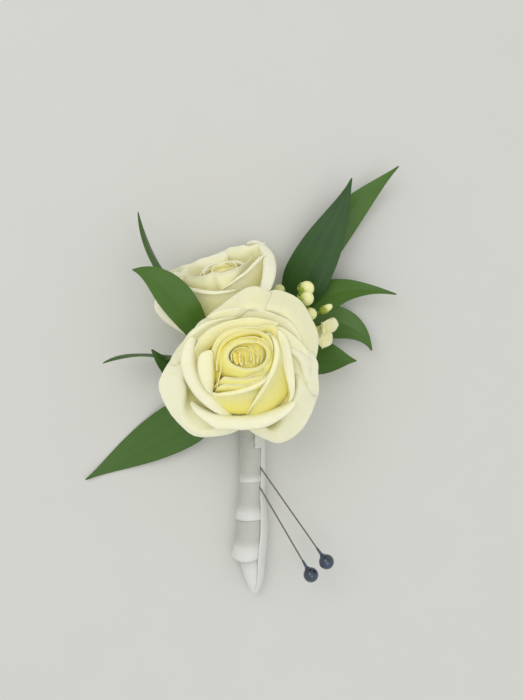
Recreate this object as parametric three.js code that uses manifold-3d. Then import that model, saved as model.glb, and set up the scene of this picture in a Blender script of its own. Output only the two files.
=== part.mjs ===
// A rose boutonniere lying on its back: two cream spray roses on their own stems, four sprigs of
// Italian ruscus and a spray of small filler buds, bound in floral tape, wrapped in white satin
// ribbon and stuck with two dark pearl-headed pins.
//
// Millimetres. +Z points up out of the front of the flowers, +Y runs from the ribboned handle to
// the leaf tips. The pieces are placed in a design frame whose XY origin is the middle of the
// picture that the arrangement makes from the front. At the end the whole group is shifted so that
// its origin is the middle of the bottom of its box.

import * as THREE from "three";
import { mergeVertices } from "three/addons/utils/BufferGeometryUtils.js";
import Module from "manifold-3d";

const wasm = await Module();
wasm.setup();

// Driving dimensions

const GAP = 0.3; // clearance between pieces that touch
const PETAL_THICKNESS = 0.8;
const LEAF_THICKNESS = 0.8;

const HANDLE_TOP = new THREE.Vector3(-3.1, -27.0, 4.2); // where the ribbon starts, on its axis
const HANDLE_END = new THREE.Vector3(-3.1, -70.0, 4.2); // where the stems are cut
const RIBBON_INNER_RADIUS = 3.6;
const TAPE_OUTER_RADIUS = RIBBON_INNER_RADIUS - GAP;
const TAPE_INNER_RADIUS = 2.7;
const ROSE_STEM_RADIUS = 1.0;
const SPRIG_STEM_RADIUS = 0.4;
const PEDICEL_RADIUS = 0.45; // the short stalk under a bud or a blossom
const BUNDLE_PITCH = 1.15; // from the handle's axis to each rose stem's axis

const PIN_LENGTH = 48;
const PIN_SHAFT_RADIUS = 0.42;
const PIN_HEAD_RADIUS = 2.5;
const PIN_CLEARANCE_RADIUS = PIN_SHAFT_RADIUS + GAP;

// How finely round things are divided: the sides of a section, or the steps along a curve
const CORE_SIDES = 9;
const HIP_SIDES = 10;
const ROSE_STEM_SIDES = 7;
const ROSE_STEM_STEPS = 12;
const SPRIG_STEM_SIDES = 5;
const SPRIG_STEM_STEPS = 14;
const PEDICEL_STEPS = 3;
const BLOSSOM_TUBE_SIDES = 7;
const HANDLE_SIDES = 16;
const PIN_SHAFT_SIDES = 10;
const PIN_CLEARANCE_SIDES = 8;
const PIN_HEAD_SIDES = 14;
const PIN_HEAD_ROWS = 8;

const CREAM = 0xefecc8;
const LEAF_GREEN = 0x3f6b2c;
const STEM_GREEN = 0x6f8f45;
const BUD_GREEN = 0xcdd083;
const RIBBON_WHITE = 0xeeeeec;
const TAPE_GREEN = 0x5d7a4a;
const STEEL = 0xb9b8b2;
const PEARL_NAVY = 0x2c3a4d;

// Small helpers

const radians = THREE.MathUtils.degToRad;
const mix = THREE.MathUtils.lerp;
const vector = (x, y, z) => new THREE.Vector3(x, y, z);

function smooth(x) {
  const c = THREE.MathUtils.clamp(x, 0, 1);
  return c * c * (3 - 2 * c);
}

function evenly(count, from = 0, to = 1) {
  return Array.from({ length: count + 1 }, (_, i) => mix(from, to, i / count));
}

// The angles of count directions that are spread evenly round a circle.
function aroundCircle(count) {
  return evenly(count, 0, 2 * Math.PI).slice(0, count);
}

// Solids and booleans

function solidFromTriangles(positions, triangles) {
  const mesh = new wasm.Mesh({
    numProp: 3,
    vertProperties: new Float32Array(positions),
    triVerts: new Uint32Array(triangles),
  });
  return new wasm.Manifold(mesh);
}

function solidFromGeometry(geometry) {
  const bare = geometry.clone();
  bare.deleteAttribute("normal");
  bare.deleteAttribute("uv");
  const merged = mergeVertices(bare, 1e-3);
  return solidFromTriangles(merged.attributes.position.array, merged.index.array);
}

function geometryFromSolid(solid) {
  const mesh = solid.getMesh();
  const stride = mesh.numProp;
  const positions = new Float32Array(mesh.numVert * 3);
  for (let i = 0; i < mesh.numVert; i++) {
    positions.set(mesh.vertProperties.subarray(i * stride, i * stride + 3), i * 3);
  }
  const geometry = new THREE.BufferGeometry();
  geometry.setAttribute("position", new THREE.BufferAttribute(positions, 3));
  geometry.setIndex(new THREE.BufferAttribute(mesh.triVerts, 1));
  geometry.computeVertexNormals();
  return geometry;
}

function join(solids) {
  return wasm.Manifold.union(solids);
}

// The one largest body of a solid, without the loose scraps that a cut leaves.
function mainBody(solid) {
  const bodies = solid.decompose();
  return bodies.reduce((largest, body) => (body.volume() > largest.volume() ? body : largest));
}

// Everything below the surface that the boutonniere lies on is cut off, which leaves flat spots.
const SURFACE_BLOCK = { width: 400, depth: 20 };

function restOnSurface(solid) {
  const { width, depth } = SURFACE_BLOCK;
  const below = new THREE.BoxGeometry(width, width, depth).translate(0, 0, -depth / 2);
  return solid.subtract(solidFromGeometry(below));
}

// A thin closed solid on both sides of surface(s, t), which gives a point for s and t. Both faces
// are split into triangles alike, so a waved sheet never crosses itself.
function sheetSolid(surface, across, along, thickness) {
  const step = 1e-3;
  const layers = [1, -1].map((side) =>
    along.flatMap((t) =>
      across.map((s) => {
        const ds = surface(s + step, t).sub(surface(s - step, t));
        const dt = surface(s, t + step).sub(surface(s, t - step));
        const normal = ds.cross(dt).normalize();
        return surface(s, t).addScaledVector(normal, (side * thickness(s, t)) / 2);
      }),
    ),
  );
  const columns = across.length;
  const rows = along.length;
  const front = (i, j) => j * columns + i;
  const back = (i, j) => columns * rows + front(i, j);
  const triangles = [];
  const quad = (a, b, c, d) => triangles.push(a, b, c, a, c, d);
  for (let j = 0; j + 1 < rows; j++) {
    for (let i = 0; i + 1 < columns; i++) {
      quad(front(i, j), front(i + 1, j), front(i + 1, j + 1), front(i, j + 1));
      triangles.push(back(i, j), back(i + 1, j + 1), back(i + 1, j));
      triangles.push(back(i, j), back(i, j + 1), back(i + 1, j + 1));
    }
  }
  for (let i = 0; i + 1 < columns; i++) {
    quad(front(i + 1, 0), front(i, 0), back(i, 0), back(i + 1, 0));
    quad(front(i, rows - 1), front(i + 1, rows - 1), back(i + 1, rows - 1), back(i, rows - 1));
  }
  for (let j = 0; j + 1 < rows; j++) {
    quad(front(0, j), front(0, j + 1), back(0, j + 1), back(0, j));
    const last = columns - 1;
    quad(front(last, j + 1), front(last, j), back(last, j), back(last, j + 1));
  }
  return solidFromTriangles(layers.flat().flatMap((p) => p.toArray()), triangles);
}

// A round stem along a smooth curve through the points.
function stemSolid(points, radius, steps, sides = SPRIG_STEM_SIDES) {
  const outline = new THREE.Shape(
    aroundCircle(sides).map(
      (angle) => new THREE.Vector2(radius * Math.cos(angle), radius * Math.sin(angle)),
    ),
  );
  const extrudePath = new THREE.CatmullRomCurve3(points, false, "centripetal");
  return solidFromGeometry(new THREE.ExtrudeGeometry(outline, { steps, extrudePath }));
}

// A turned solid from [radius, height] pairs, in the order from its bottom to its top.
function turnedSolid(profile, sides) {
  const points = profile.map(([radius, height]) => new THREE.Vector2(radius, height));
  const lathe = new THREE.LatheGeometry(points, sides);
  return solidFromGeometry(lathe.rotateX(Math.PI / 2));
}

// The turn and shift that carry a flower's own frame, with its axis along +Z, into the design
// frame. right is the direction that the flower's zero azimuth leans to.
function placement(base, axis, right) {
  const z = axis.clone().normalize();
  const x = right.clone().addScaledVector(z, -right.dot(z)).normalize();
  const y = z.clone().cross(x);
  return new THREE.Matrix4().makeBasis(x, y, z).setPosition(base);
}

function place(solid, matrix) {
  return solid.transform(matrix.elements);
}

// Roses

// A petal is a strip of a cup. Its profile runs from the heart of the flower, out over the belly
// and the shoulder, to the rim, each given as [radius, height]. It spans an angle on each side of
// its azimuth. On the front rose 0 is to the right and 90 towards the leaf tips. The back rose
// lies on its side, so there 90 points down to the surface and 270 up to the viewer. A petal's
// two corners fall away by the two values of fall, and skew tucks in its one side and lifts the
// other.
const PETAL_BASE = [2.5, 1.0];
const FALL_POWER = 2.2; // how late towards its corners a petal's rim falls away
const RIM_NARROWING = { share: 0.22, from: 0.6 }; // the rim is narrower than the belly

function petalSurface(petal) {
  const points = [PETAL_BASE, petal.belly, petal.shoulder, petal.rim];
  const profile = new THREE.SplineCurve(points.map(([x, y]) => new THREE.Vector2(x, y)));
  const [before, after] = petal.fall;
  return (s, t) => {
    const fall = (s < 0 ? before : after) * Math.min(Math.abs(s), 1) ** FALL_POWER;
    const at = profile.getPoint(THREE.MathUtils.clamp(t, 0, 1) * (1 - fall));
    const { share, from } = RIM_NARROWING;
    const narrowing = 1 - share * smooth((t - from) / (1 - from));
    const azimuth = radians(petal.azimuth + petal.span * narrowing * s);
    const radius = at.x + petal.skew * s * smooth(t / from);
    return vector(radius * Math.cos(azimuth), radius * Math.sin(azimuth), at.y);
  };
}

// How far out along its profile a petal leaves the core of the flower.
const PETAL_START = 0.16;

// The petals of one whorl share a belly and a shoulder. Each petal is [azimuth, span, rim radius,
// rim height, fall before, fall after], and its belly and shoulder move with its rim radius.
function whorl({ belly, shoulder, skew = 0.6, columns = 4, rows = 3, petals }) {
  return petals.map(([azimuth, span, rimRadius, rimHeight, before = 0.08, after = 0.08]) => {
    const widen = rimRadius - petals[0][2];
    return {
      azimuth,
      span,
      belly: [belly[0] + widen * 0.8, belly[1]],
      shoulder: [shoulder[0] + widen, shoulder[1] + rimHeight - petals[0][3]],
      rim: [rimRadius, rimHeight],
      fall: [before, after],
      skew,
      columns,
      rows,
    };
  });
}

function petalSolid(petal, thickness = PETAL_THICKNESS) {
  const across = evenly(petal.columns, -1, 1);
  const along = evenly(petal.rows, PETAL_START, 1);
  return sheetSolid(petalSurface(petal), across, along, () => thickness);
}

const FRONT_ROSE = {
  base: vector(-7.3, -7.2, 18.5),
  axis: vector(0.1, 0.21, 0.97),
  right: vector(1, 0, 0),
  core: [[0, 0], [3.0, 0], [10.5, 1.8], [12.5, 5], [9, 14], [4, 19], [0, 19.5]],
  whorls: [
    { belly: [3.4, 9], shoulder: [2.6, 20], columns: 5, rows: 1,
      petals: [[20, 105, 1.5, 26.6], [200, 105, 2.5, 26.4], [320, 100, 3.5, 26.4],
        [100, 95, 4.5, 26.0]] },
    { belly: [10.5, 9], shoulder: [8.4, 20], rows: 2,
      petals: [[255, 72, 6.0, 25.6], [50, 74, 5.8, 25.8], [168, 56, 7.2, 25.0, 0.08, 0.16],
        [338, 56, 7.4, 25.0], [58, 38, 8.8, 24.8, 0.25, 0.15]] },
    { belly: [14.0, 8], shoulder: [12.8, 19],
      petals: [[128, 50, 10.6, 23.6, 0.15, 0.2], [266, 48, 10.0, 23.8, 0.22, 0.05],
        [200, 42, 11.6, 23.0, 0.06, 0.3], [12, 50, 10.8, 23.8, 0.3, 0.15],
        [318, 50, 11.8, 22.6, 0.42, 0.1]] },
    { belly: [15.8, 6.5], shoulder: [17.0, 16.5], skew: 0.9,
      petals: [[200, 46, 20.6, 17.0, 0.2, 0.3], [84, 50, 18.4, 18.6, 0.2, 0.25],
        [14, 46, 20.0, 17.4, 0.35, 0.2], [270, 50, 21.6, 15.4, 0.25, 0.3],
        [146, 44, 20.6, 17.0, 0.25, 0.25]] },
    { belly: [16.5, 3.5], shoulder: [21.6, 12.6], skew: 1.0, columns: 5, rows: 4,
      petals: [[212, 48, 28.4, 10.5, 0.3, 0.25], [311, 44, 28.4, 9.5, 0.3, 0.3],
        [350, 38, 26.4, 12.0, 0.3, 0.35], [41, 42, 28.2, 11.5, 0.3, 0.35],
        [84, 42, 25.8, 14.5, 0.3, 0.4], [166, 40, 23.6, 13.0, 0.3, 0.25]] },
  ],
};

const BACK_ROSE = {
  base: vector(-8.2, 8.7, 5.4),
  axis: vector(-0.2, 0.85, 0.486),
  right: vector(1, 0.22, 0),
  flatten: 0.84,
  core: [[0, 0], [2.6, 0], [8.5, 2.6], [9.5, 6], [6, 14], [3, 17], [0, 17.5]],
  whorls: [
    { belly: [3.4, 8], shoulder: [2.4, 17], columns: 5, rows: 1,
      petals: [[20, 105, 1.6, 23.0], [200, 105, 2.8, 22.8], [320, 100, 4.0, 22.6]] },
    { belly: [9, 8], shoulder: [7.6, 17], rows: 2,
      petals: [[255, 66, 6.0, 22.6], [30, 66, 6.8, 22.6], [165, 60, 7.8, 22.2]] },
    { belly: [12.5, 7], shoulder: [12.2, 16.5],
      petals: [[250, 54, 12.0, 21.8, 0.1, 0.2], [320, 50, 12.8, 22.2, 0.4, 0.1],
        [190, 50, 13.0, 21.4, 0.2, 0.2], [118, 50, 12.4, 22.6, 0.2, 0.2],
        [50, 50, 13.2, 22.4, 0.2, 0.2]] },
    { belly: [13.8, 5], shoulder: [15.2, 15.5], skew: 0.9,
      petals: [[268, 56, 17.0, 20.0, 0.08, 0.25], [356, 46, 18.2, 21.0, 0.3, 0.2],
        [76, 46, 18.0, 21.6, 0.25, 0.25], [146, 46, 18.0, 20.6, 0.25, 0.25],
        [214, 46, 17.6, 19.2, 0.25, 0.3]] },
  ],
};

function bloomPetals(rose) {
  return rose.whorls.flatMap(whorl);
}

// A pressed flower is flatter from front to back than it is wide.
function placeInBloom(solid, rose) {
  const pressed = new THREE.Matrix4().makeScale(1, rose.flatten ?? 1, 1);
  return place(solid, placement(rose.base, rose.axis, rose.right).multiply(pressed));
}

function bloomSolid(rose) {
  const petals = bloomPetals(rose).map((petal) => petalSolid(petal));
  return placeInBloom(join([turnedSolid(rose.core, CORE_SIDES), ...petals]), rose);
}

// The room that a bloom's petals take up together with the gap around them.
function bloomRoom(rose) {
  const petals = bloomPetals(rose).map((petal) => petalSolid(petal, PETAL_THICKNESS + 3 * GAP));
  const core = rose.core.map(([radius, height]) => [radius && radius + GAP, height || -GAP]);
  const room = placeInBloom(join([turnedSolid(core, CORE_SIDES), ...petals]), rose);
  return room.add(room.translate([0, GAP, 0]));
}

// The green hip under a bloom with its five sepals turned back, and the stem that it grows on.
const FIVE_PARTS = 5; // roses and the small blossom have their parts in fives
const SEPAL_WIDTH = 3.4;

function calyxSolid(rose, hipRadius, hipHeight, sepalReach, stemPoints) {
  const matrix = placement(rose.base, rose.axis, rose.right);
  const hip = turnedSolid(
    [
      [0, -GAP - hipHeight],
      [ROSE_STEM_RADIUS + 0.3, -GAP - hipHeight],
      [hipRadius, -GAP - hipHeight * 0.5],
      [hipRadius * 0.8, -GAP],
      [0, -GAP],
    ],
    HIP_SIDES,
  );
  const sepals = aroundCircle(FIVE_PARTS).map((azimuth) => {
    const outward = vector(Math.cos(azimuth), Math.sin(azimuth), 0);
    return leafSolid({
      base: outward.clone().multiplyScalar(hipRadius * 0.5).setZ(-1.6),
      rise: outward.clone().multiplyScalar(hipRadius + sepalReach * 0.4).setZ(-1.4),
      bend: outward.clone().multiplyScalar(hipRadius + sepalReach * 0.75).setZ(-2.2),
      tip: outward.clone().multiplyScalar(hipRadius + sepalReach).setZ(-4.6),
      side: vector(-Math.sin(azimuth), Math.cos(azimuth), 0),
      width: SEPAL_WIDTH,
      fold: 0.1,
      rows: 3,
      columns: 2,
    });
  });
  const head = place(join([hip, ...sepals]), matrix);
  return join([head, stemSolid(stemPoints, ROSE_STEM_RADIUS, ROSE_STEM_STEPS, ROSE_STEM_SIDES)]);
}

// Leaves

// A leaf follows a cubic curve from base to tip. side is the direction of its width, and fold
// lifts its two halves from the midrib.
const LEAF_EDGE = 0.3; // half the width that is left at the very base and tip
const LEAF_EDGE_THINNING = 0.2;
const LEAF_TIP_POWER = 1.35;

function leafSurface(leaf) {
  const spine = new THREE.CubicBezierCurve3(leaf.base, leaf.rise, leaf.bend, leaf.tip);
  return (s, t) => {
    const clamped = THREE.MathUtils.clamp(t, 0, 1);
    const point = spine.getPoint(t);
    const tangent = spine.getTangent(clamped);
    const side = leaf.side.clone();
    side.addScaledVector(tangent, -side.dot(tangent)).normalize();
    const up = side.clone().cross(tangent);
    const share = leafWidth(clamped, leaf.tipPower ?? LEAF_TIP_POWER);
    const half = (share * leaf.width) / 2 + LEAF_EDGE;
    return point
      .addScaledVector(side, half * s)
      .addScaledVector(up, half * leaf.fold * Math.abs(s));
  };
}

// The share of a leaf's full width at t from its base to its tip. A low power draws the tip out
// to a long point, a high one rounds it.
function leafWidth(t, tipPower) {
  const widest = 0.4;
  const towardsTip = 1 - Math.abs((t - widest) / (1 - widest)) ** tipPower;
  const towardsBase = 1 - Math.abs((widest - t) / widest) ** 2;
  return Math.max(t > widest ? towardsTip : towardsBase, 0);
}

function leafSolid(leaf) {
  const rows = leaf.rows ?? 7;
  const across = evenly(leaf.columns ?? 4, -1, 1);
  const thickness = (s) => LEAF_THICKNESS - LEAF_EDGE_THINNING * Math.abs(s);
  return sheetSolid(leafSurface(leaf), across, evenly(rows), thickness);
}

const FLAT = vector(0, 0, 1);

// The width direction of a blade that faces the viewer and whose midrib runs from base to tip.
function faceOn(base, tip, tilt = 0) {
  const along = tip.clone().sub(base).normalize();
  const side = FLAT.clone().cross(along).normalize();
  return side.applyAxisAngle(along, radians(tilt));
}

const UPPER_FRONT_LEAF = {
  base: vector(8.4, 8.6, 3.2),
  rise: vector(13.5, 25.0, 6.5),
  bend: vector(22.0, 42.0, 12.5),
  tip: vector(29.7, 56.5, 14.0),
  tilt: -12,
  width: 14.5,
  fold: 0.18,
};

const UPPER_BACK_LEAF = {
  base: vector(7.6, 7.0, 2.8),
  rise: vector(10.5, 31.0, -3.45),
  bend: vector(27.0, 50.0, 3.5),
  tip: vector(46.1, 61.7, 9.0),
  tilt: 0,
  width: 17.5,
  fold: 0.08,
};

const RIGHT_UPPER_LEAF = {
  base: vector(12.2, 2.4, 3.2),
  rise: vector(18.0, 15.5, 9.5),
  bend: vector(32.0, 20.5, 12.5),
  tip: vector(44.4, 18.8, 12.0),
  tilt: 10,
  width: 9.0,
  fold: 0.15,
};

const RIGHT_MIDDLE_LEAF = {
  base: vector(11.8, 0.6, 3.0),
  rise: vector(20.0, 15.0, 4.0),
  bend: vector(33.0, 14.5, 6.5),
  tip: vector(36.6, 0.7, 7.5),
  tilt: 0,
  width: 10.0,
  fold: 0.12,
};

const RIGHT_LOWER_LEAF = {
  base: vector(10.5, -2.5, 2.6),
  rise: vector(15.0, 2.0, 7.0),
  bend: vector(23.0, 1.0, 10.5),
  tip: vector(30.7, -3.3, 11.5),
  tilt: 12,
  width: 11.0,
  fold: 0.12,
};

const LEFT_LOWER_LEAF = {
  base: vector(-13.5, -17.0, 4.2),
  rise: vector(-26.0, -21.5, 7.0),
  bend: vector(-44.0, -33.0, -2.6),
  tip: vector(-60.6, -44.7, 1.2),
  tilt: 6,
  width: 16.0,
  fold: 0.06,
};

const LEFT_UPPER_LEAF = {
  base: vector(-19.5, 1.0, 17.5),
  rise: vector(-21.5, 8.5, 25.0),
  bend: vector(-33.0, 25.0, 34.5),
  tip: vector(-41.2, 26.4, 24.0),
  tilt: -14,
  width: 11.5,
  fold: 0.14,
};

const LEFT_EDGE_ON_LEAF = {
  base: vector(-21.0, -0.5, 10.0),
  rise: vector(-29.0, 17.0, 7.0),
  bend: vector(-38.5, 29.0, 14.0),
  tip: vector(-40.2, 45.4, 15.0),
  tilt: 78,
  width: 9.0,
  fold: 0.1,
  columns: 2,
};

const LEFT_THIN_LEAF = {
  base: vector(-21.5, -5.0, 6.5),
  rise: vector(-32.0, -1.0, 9.0),
  bend: vector(-43.0, 1.5, 12.5),
  tip: vector(-52.6, -4.0, 12.0),
  tilt: 84,
  width: 7.0,
  fold: 0.08,
  columns: 2,
};

const LEFT_SHORT_LEAF = {
  base: vector(-19.5, -9.5, 5.0),
  rise: vector(-25.0, -8.0, 10.0),
  bend: vector(-31.5, -5.0, 14.0),
  tip: vector(-36.2, 0.2, 14.5),
  tilt: 28,
  width: 8.0,
  fold: 0.2,
};

// A stretch of ruscus stem with the leaves that grow on it, fused as they grew.
function sprigSolid(stemPoints, leaves) {
  const blades = leaves.map((leaf) => {
    const side = faceOn(leaf.base, leaf.tip, leaf.tilt);
    return leafSolid({ ...leaf, side });
  });
  const stem = stemSolid(stemPoints, SPRIG_STEM_RADIUS, SPRIG_STEM_STEPS);
  return restOnSurface(join([stem, ...blades]));
}

// Where a stem stands in the bundle: beside the handle's axis by aside and up, and straight from
// just above the handle to where that stem was cut. A stem that would meet a pin is cut short.
const CUT_SHORT = -31.5;

function inHandle(aside, up, cutAt = HANDLE_END.y) {
  return [HANDLE_TOP.y + 4, HANDLE_TOP.y + 1.5, HANDLE_TOP.y - 3, cutAt].map((y) =>
    vector(HANDLE_TOP.x + aside, y, HANDLE_TOP.z + up),
  );
}

const SPRIGS = {
  ruscus_sprig_top_right: {
    stem: [UPPER_FRONT_LEAF.base, UPPER_BACK_LEAF.base, vector(4.0, -7, 1.4),
      vector(-0.6, -19, 1.6)],
    slot: [0, -1.95],
    leaves: [UPPER_FRONT_LEAF, UPPER_BACK_LEAF],
  },
  ruscus_sprig_right: {
    stem: [RIGHT_UPPER_LEAF.base, RIGHT_MIDDLE_LEAF.base, RIGHT_LOWER_LEAF.base,
      vector(7.5, -9, 2.6), vector(2.8, -18, 3.4)],
    slot: [1.45, -1.6],
    leaves: [RIGHT_UPPER_LEAF, RIGHT_MIDDLE_LEAF, RIGHT_LOWER_LEAF],
  },
  ruscus_sprig_top_left: {
    stem: [LEFT_UPPER_LEAF.base, LEFT_EDGE_ON_LEAF.base, vector(-19.5, -4, 7.0),
      vector(-11.5, -16.5, 8.4)],
    slot: [-0.9, 1.85, CUT_SHORT],
    leaves: [LEFT_UPPER_LEAF, LEFT_EDGE_ON_LEAF],
  },
  ruscus_sprig_left: {
    stem: [LEFT_THIN_LEAF.base, LEFT_SHORT_LEAF.base, LEFT_LOWER_LEAF.base],
    slot: [-1.45, -1.6],
    leaves: [LEFT_LOWER_LEAF, LEFT_THIN_LEAF, LEFT_SHORT_LEAF],
  },
};

// Filler spray: round buds on short stalks, and one small open blossom

const BUDS = [
  { centre: vector(14.6, 20.0, 20), radius: 2.45 },
  { centre: vector(15.3, 16.4, 20.5), radius: 2.45 },
  { centre: vector(16.4, 12.2, 19.2), radius: 2.2 },
  { centre: vector(22.6, 14.0, 15.5), radius: 1.3 },
  { centre: vector(7.6, 20.3, 13.5), radius: 1.8 },
];

const SPRAY_FORK = vector(13.5, 10.0, 12.0);
const BLOSSOM_SEAT = vector(17.6, 7.2, 15.5);

function budSolid(bud) {
  return solidFromGeometry(
    new THREE.IcosahedronGeometry(bud.radius, 1).translate(...bud.centre.toArray()),
  );
}

const SPRAY_STALK = [
  SPRAY_FORK,
  vector(10.5, -1.0, 6.0),
  vector(5.0, -14.0, 5.4),
  vector(0.4, -19.5, 6.2),
  ...inHandle(0.9, 1.85, CUT_SHORT),
];
const PEDICEL_SAG = vector(0, 0, -0.6);

function pedicelSolid(end) {
  const middle = SPRAY_FORK.clone().lerp(end, 0.5).add(PEDICEL_SAG);
  return stemSolid([SPRAY_FORK, middle, end], PEDICEL_RADIUS, PEDICEL_STEPS);
}

function spraySolid() {
  const stalk = stemSolid(SPRAY_STALK, SPRIG_STEM_RADIUS, SPRIG_STEM_STEPS);
  const ends = [...BUDS.map((bud) => bud.centre), BLOSSOM_SEAT];
  return join([stalk, ...ends.map(pedicelSolid), ...BUDS.map(budSolid)]);
}

const BLOSSOM = {
  base: BLOSSOM_SEAT.clone().add(vector(0.35, -0.15, 0.3)),
  axis: vector(0.55, -0.25, 0.75),
  right: vector(1, 0, 0),
};

function blossomSolid() {
  const tube = turnedSolid([[0, 0], [0.9, 0], [1.5, 3.2], [0, 3.4]], BLOSSOM_TUBE_SIDES);
  const petals = aroundCircle(FIVE_PARTS).map((azimuth) => {
    const outward = vector(Math.cos(azimuth), Math.sin(azimuth), 0);
    return leafSolid({
      base: outward.clone().multiplyScalar(0.6).setZ(2.4),
      rise: outward.clone().multiplyScalar(2.2).setZ(3.6),
      bend: outward.clone().multiplyScalar(4.2).setZ(5.2),
      tip: outward.clone().multiplyScalar(5.4).setZ(4.6),
      side: vector(-Math.sin(azimuth), Math.cos(azimuth), 0),
      width: 5.2,
      fold: 0.12,
      rows: 3,
      columns: 2,
      tipPower: 3,
    });
  });
  return place(join([tube, ...petals]), placement(BLOSSOM.base, BLOSSOM.axis, BLOSSOM.right));
}

// Ribbon handle

// The ribbon's outline along the handle: each lap widens to its lip, and the next lap starts
// narrower under it. Below the last lip the ribbon folds in to a flat point.
const RIBBON_SECTIONS = [
  { y: -27.0, left: 4.2, right: 4.4, height: 4.3 },
  { y: -33.0, left: 4.5, right: 4.5, height: 4.5 },
  { y: -33.4, left: 4.2, right: 4.4, height: 4.3 },
  { y: -45.0, left: 4.5, right: 4.6, height: 4.7 },
  { y: -45.4, left: 4.2, right: 4.5, height: 4.4 },
  { y: -57.8, left: 5.7, right: 4.9, height: 5.0 },
  { y: -58.2, left: 4.9, right: 4.8, height: 4.6 },
  { y: -70.4, left: 6.8, right: 4.6, height: 5.1 },
  { y: -71.0, left: 5.3, right: 4.6, height: 4.6 },
  { y: -77.0, left: 3.4, right: 4.4, height: 3.4 },
  { y: -83.2, left: -0.2, right: 2.6, height: 1.3 },
];

// The lengthwise strip of the same ribbon that lies over the laps on the right.
const STRIP_SECTIONS = [
  { y: -27.0, left: -2.0, right: 4.6, height: 3.4 },
  { y: -58.0, left: -1.9, right: 5.4, height: 3.9 },
  { y: -71.0, left: -1.7, right: 4.9, height: 3.9 },
  { y: -79.5, left: -0.4, right: 4.1, height: 2.4 },
];

// A closed solid through oval sections across the handle. left and right are measured from the
// handle's axis, so an oval can sit off it.
function handleSolid(sections) {
  const positions = [];
  const triangles = [];
  for (const { y, left, right, height } of sections) {
    for (let i = 0; i < HANDLE_SIDES; i++) {
      const angle = (i / HANDLE_SIDES) * 2 * Math.PI;
      const middle = HANDLE_TOP.x + (right - left) / 2;
      const across = middle + ((left + right) / 2) * Math.cos(angle);
      positions.push(across, y, HANDLE_TOP.z + height * Math.sin(angle));
    }
  }
  const at = (row, i) => row * HANDLE_SIDES + (i % HANDLE_SIDES);
  for (let row = 0; row + 1 < sections.length; row++) {
    for (let i = 0; i < HANDLE_SIDES; i++) {
      triangles.push(at(row, i), at(row, i + 1), at(row + 1, i + 1));
      triangles.push(at(row, i), at(row + 1, i + 1), at(row + 1, i));
    }
  }
  for (let i = 1; i + 1 < HANDLE_SIDES; i++) {
    const last = sections.length - 1;
    triangles.push(at(0, 0), at(0, i + 1), at(0, i));
    triangles.push(at(last, 0), at(last, i), at(last, i + 1));
  }
  return solidFromTriangles(positions, triangles);
}

// A round bore on the handle's own axis, for what lies inside the wrap.
function handleBore(radius, from, to) {
  const length = from - to;
  const bore = new THREE.CylinderGeometry(radius, radius, length, HANDLE_SIDES);
  return solidFromGeometry(bore.translate(HANDLE_TOP.x, (from + to) / 2, HANDLE_TOP.z));
}

// Pins

const PINS = {
  pin_upper: { entry: vector(-0.7, -39.2, 7.5), head: vector(21.3, -69.4, 16.0) },
  pin_lower: { entry: vector(-1.0, -45.6, 7.5), head: vector(16.3, -74.2, 14.0) },
};

// The pin's own frame: its head at the origin and its point along +Z.
function pinPlacement({ entry, head }) {
  return placement(head, entry.clone().sub(head), vector(1, 0, 0));
}

const PIN_SEAT = -1.0; // how far past the middle of the head the shaft reaches
const PIN_POINT = PIN_LENGTH - PIN_HEAD_RADIUS;
const PIN_TAPER = 3; // the length of the point
const PIN_COLLAR = { radius: 0.95, reach: PIN_HEAD_RADIUS + 0.9, joins: 0.42 };

function pinShaftSolid(pin) {
  const profile = [
    [0, PIN_SEAT],
    [PIN_SHAFT_RADIUS, PIN_SEAT],
    [PIN_SHAFT_RADIUS, PIN_POINT - PIN_TAPER],
    [0, PIN_POINT],
  ];
  return place(turnedSolid(profile, PIN_SHAFT_SIDES), pinPlacement(pin));
}

// What the pin pierces is opened by this much around it.
function pinClearance(pin) {
  const profile = [
    [0, PIN_SEAT - GAP],
    [PIN_CLEARANCE_RADIUS, PIN_SEAT - GAP],
    [PIN_CLEARANCE_RADIUS, PIN_POINT + GAP],
    [0, PIN_POINT + GAP],
  ];
  return place(turnedSolid(profile, PIN_CLEARANCE_SIDES), pinPlacement(pin));
}

// A ball with a short tapered collar on the side of the shaft.
function pinHeadSolid(pin) {
  const { radius, reach, joins } = PIN_COLLAR;
  const ball = evenly(PIN_HEAD_ROWS, -Math.PI / 2, Math.PI / 2 - joins).map((angle) => [
    PIN_HEAD_RADIUS * Math.cos(angle),
    PIN_HEAD_RADIUS * Math.sin(angle),
  ]);
  ball[0][0] = 0;
  const head = turnedSolid([...ball, [radius, reach], [0, reach]], PIN_HEAD_SIDES);
  return place(head, pinPlacement(pin)).subtract(pinClearance(pin));
}

const pierced = join(Object.values(PINS).map(pinClearance));

// Assembly

function material(color, roughness, metalness = 0) {
  return new THREE.MeshStandardMaterial({ color, roughness, metalness });
}

const finishes = {
  petal: material(CREAM, 0.6),
  leaf: material(LEAF_GREEN, 0.4),
  stem: material(STEM_GREEN, 0.6),
  bud: material(BUD_GREEN, 0.5),
  ribbon: material(RIBBON_WHITE, 0.35),
  tape: material(TAPE_GREEN, 0.8),
  steel: material(STEEL, 0.25, 1),
  pearl: material(PEARL_NAVY, 0.15),
};

const boutonniere = new THREE.Group();

function add(name, solid, finish) {
  const mesh = new THREE.Mesh(geometryFromSolid(solid), finish);
  mesh.name = name;
  boutonniere.add(mesh);
}

const frontStem = [
  vector(-7.9, -8.4, 13.2),
  vector(-8.1, -12.5, 8.2),
  vector(-6.6, -19.5, 5.2),
  ...inHandle(-BUNDLE_PITCH, 0),
];
const backStem = [
  vector(-7.1, 4.1, 2.8),
  vector(-5.2, -6.0, 2.0),
  vector(-2.6, -17.0, 2.8),
  ...inHandle(BUNDLE_PITCH, 0),
];

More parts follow.
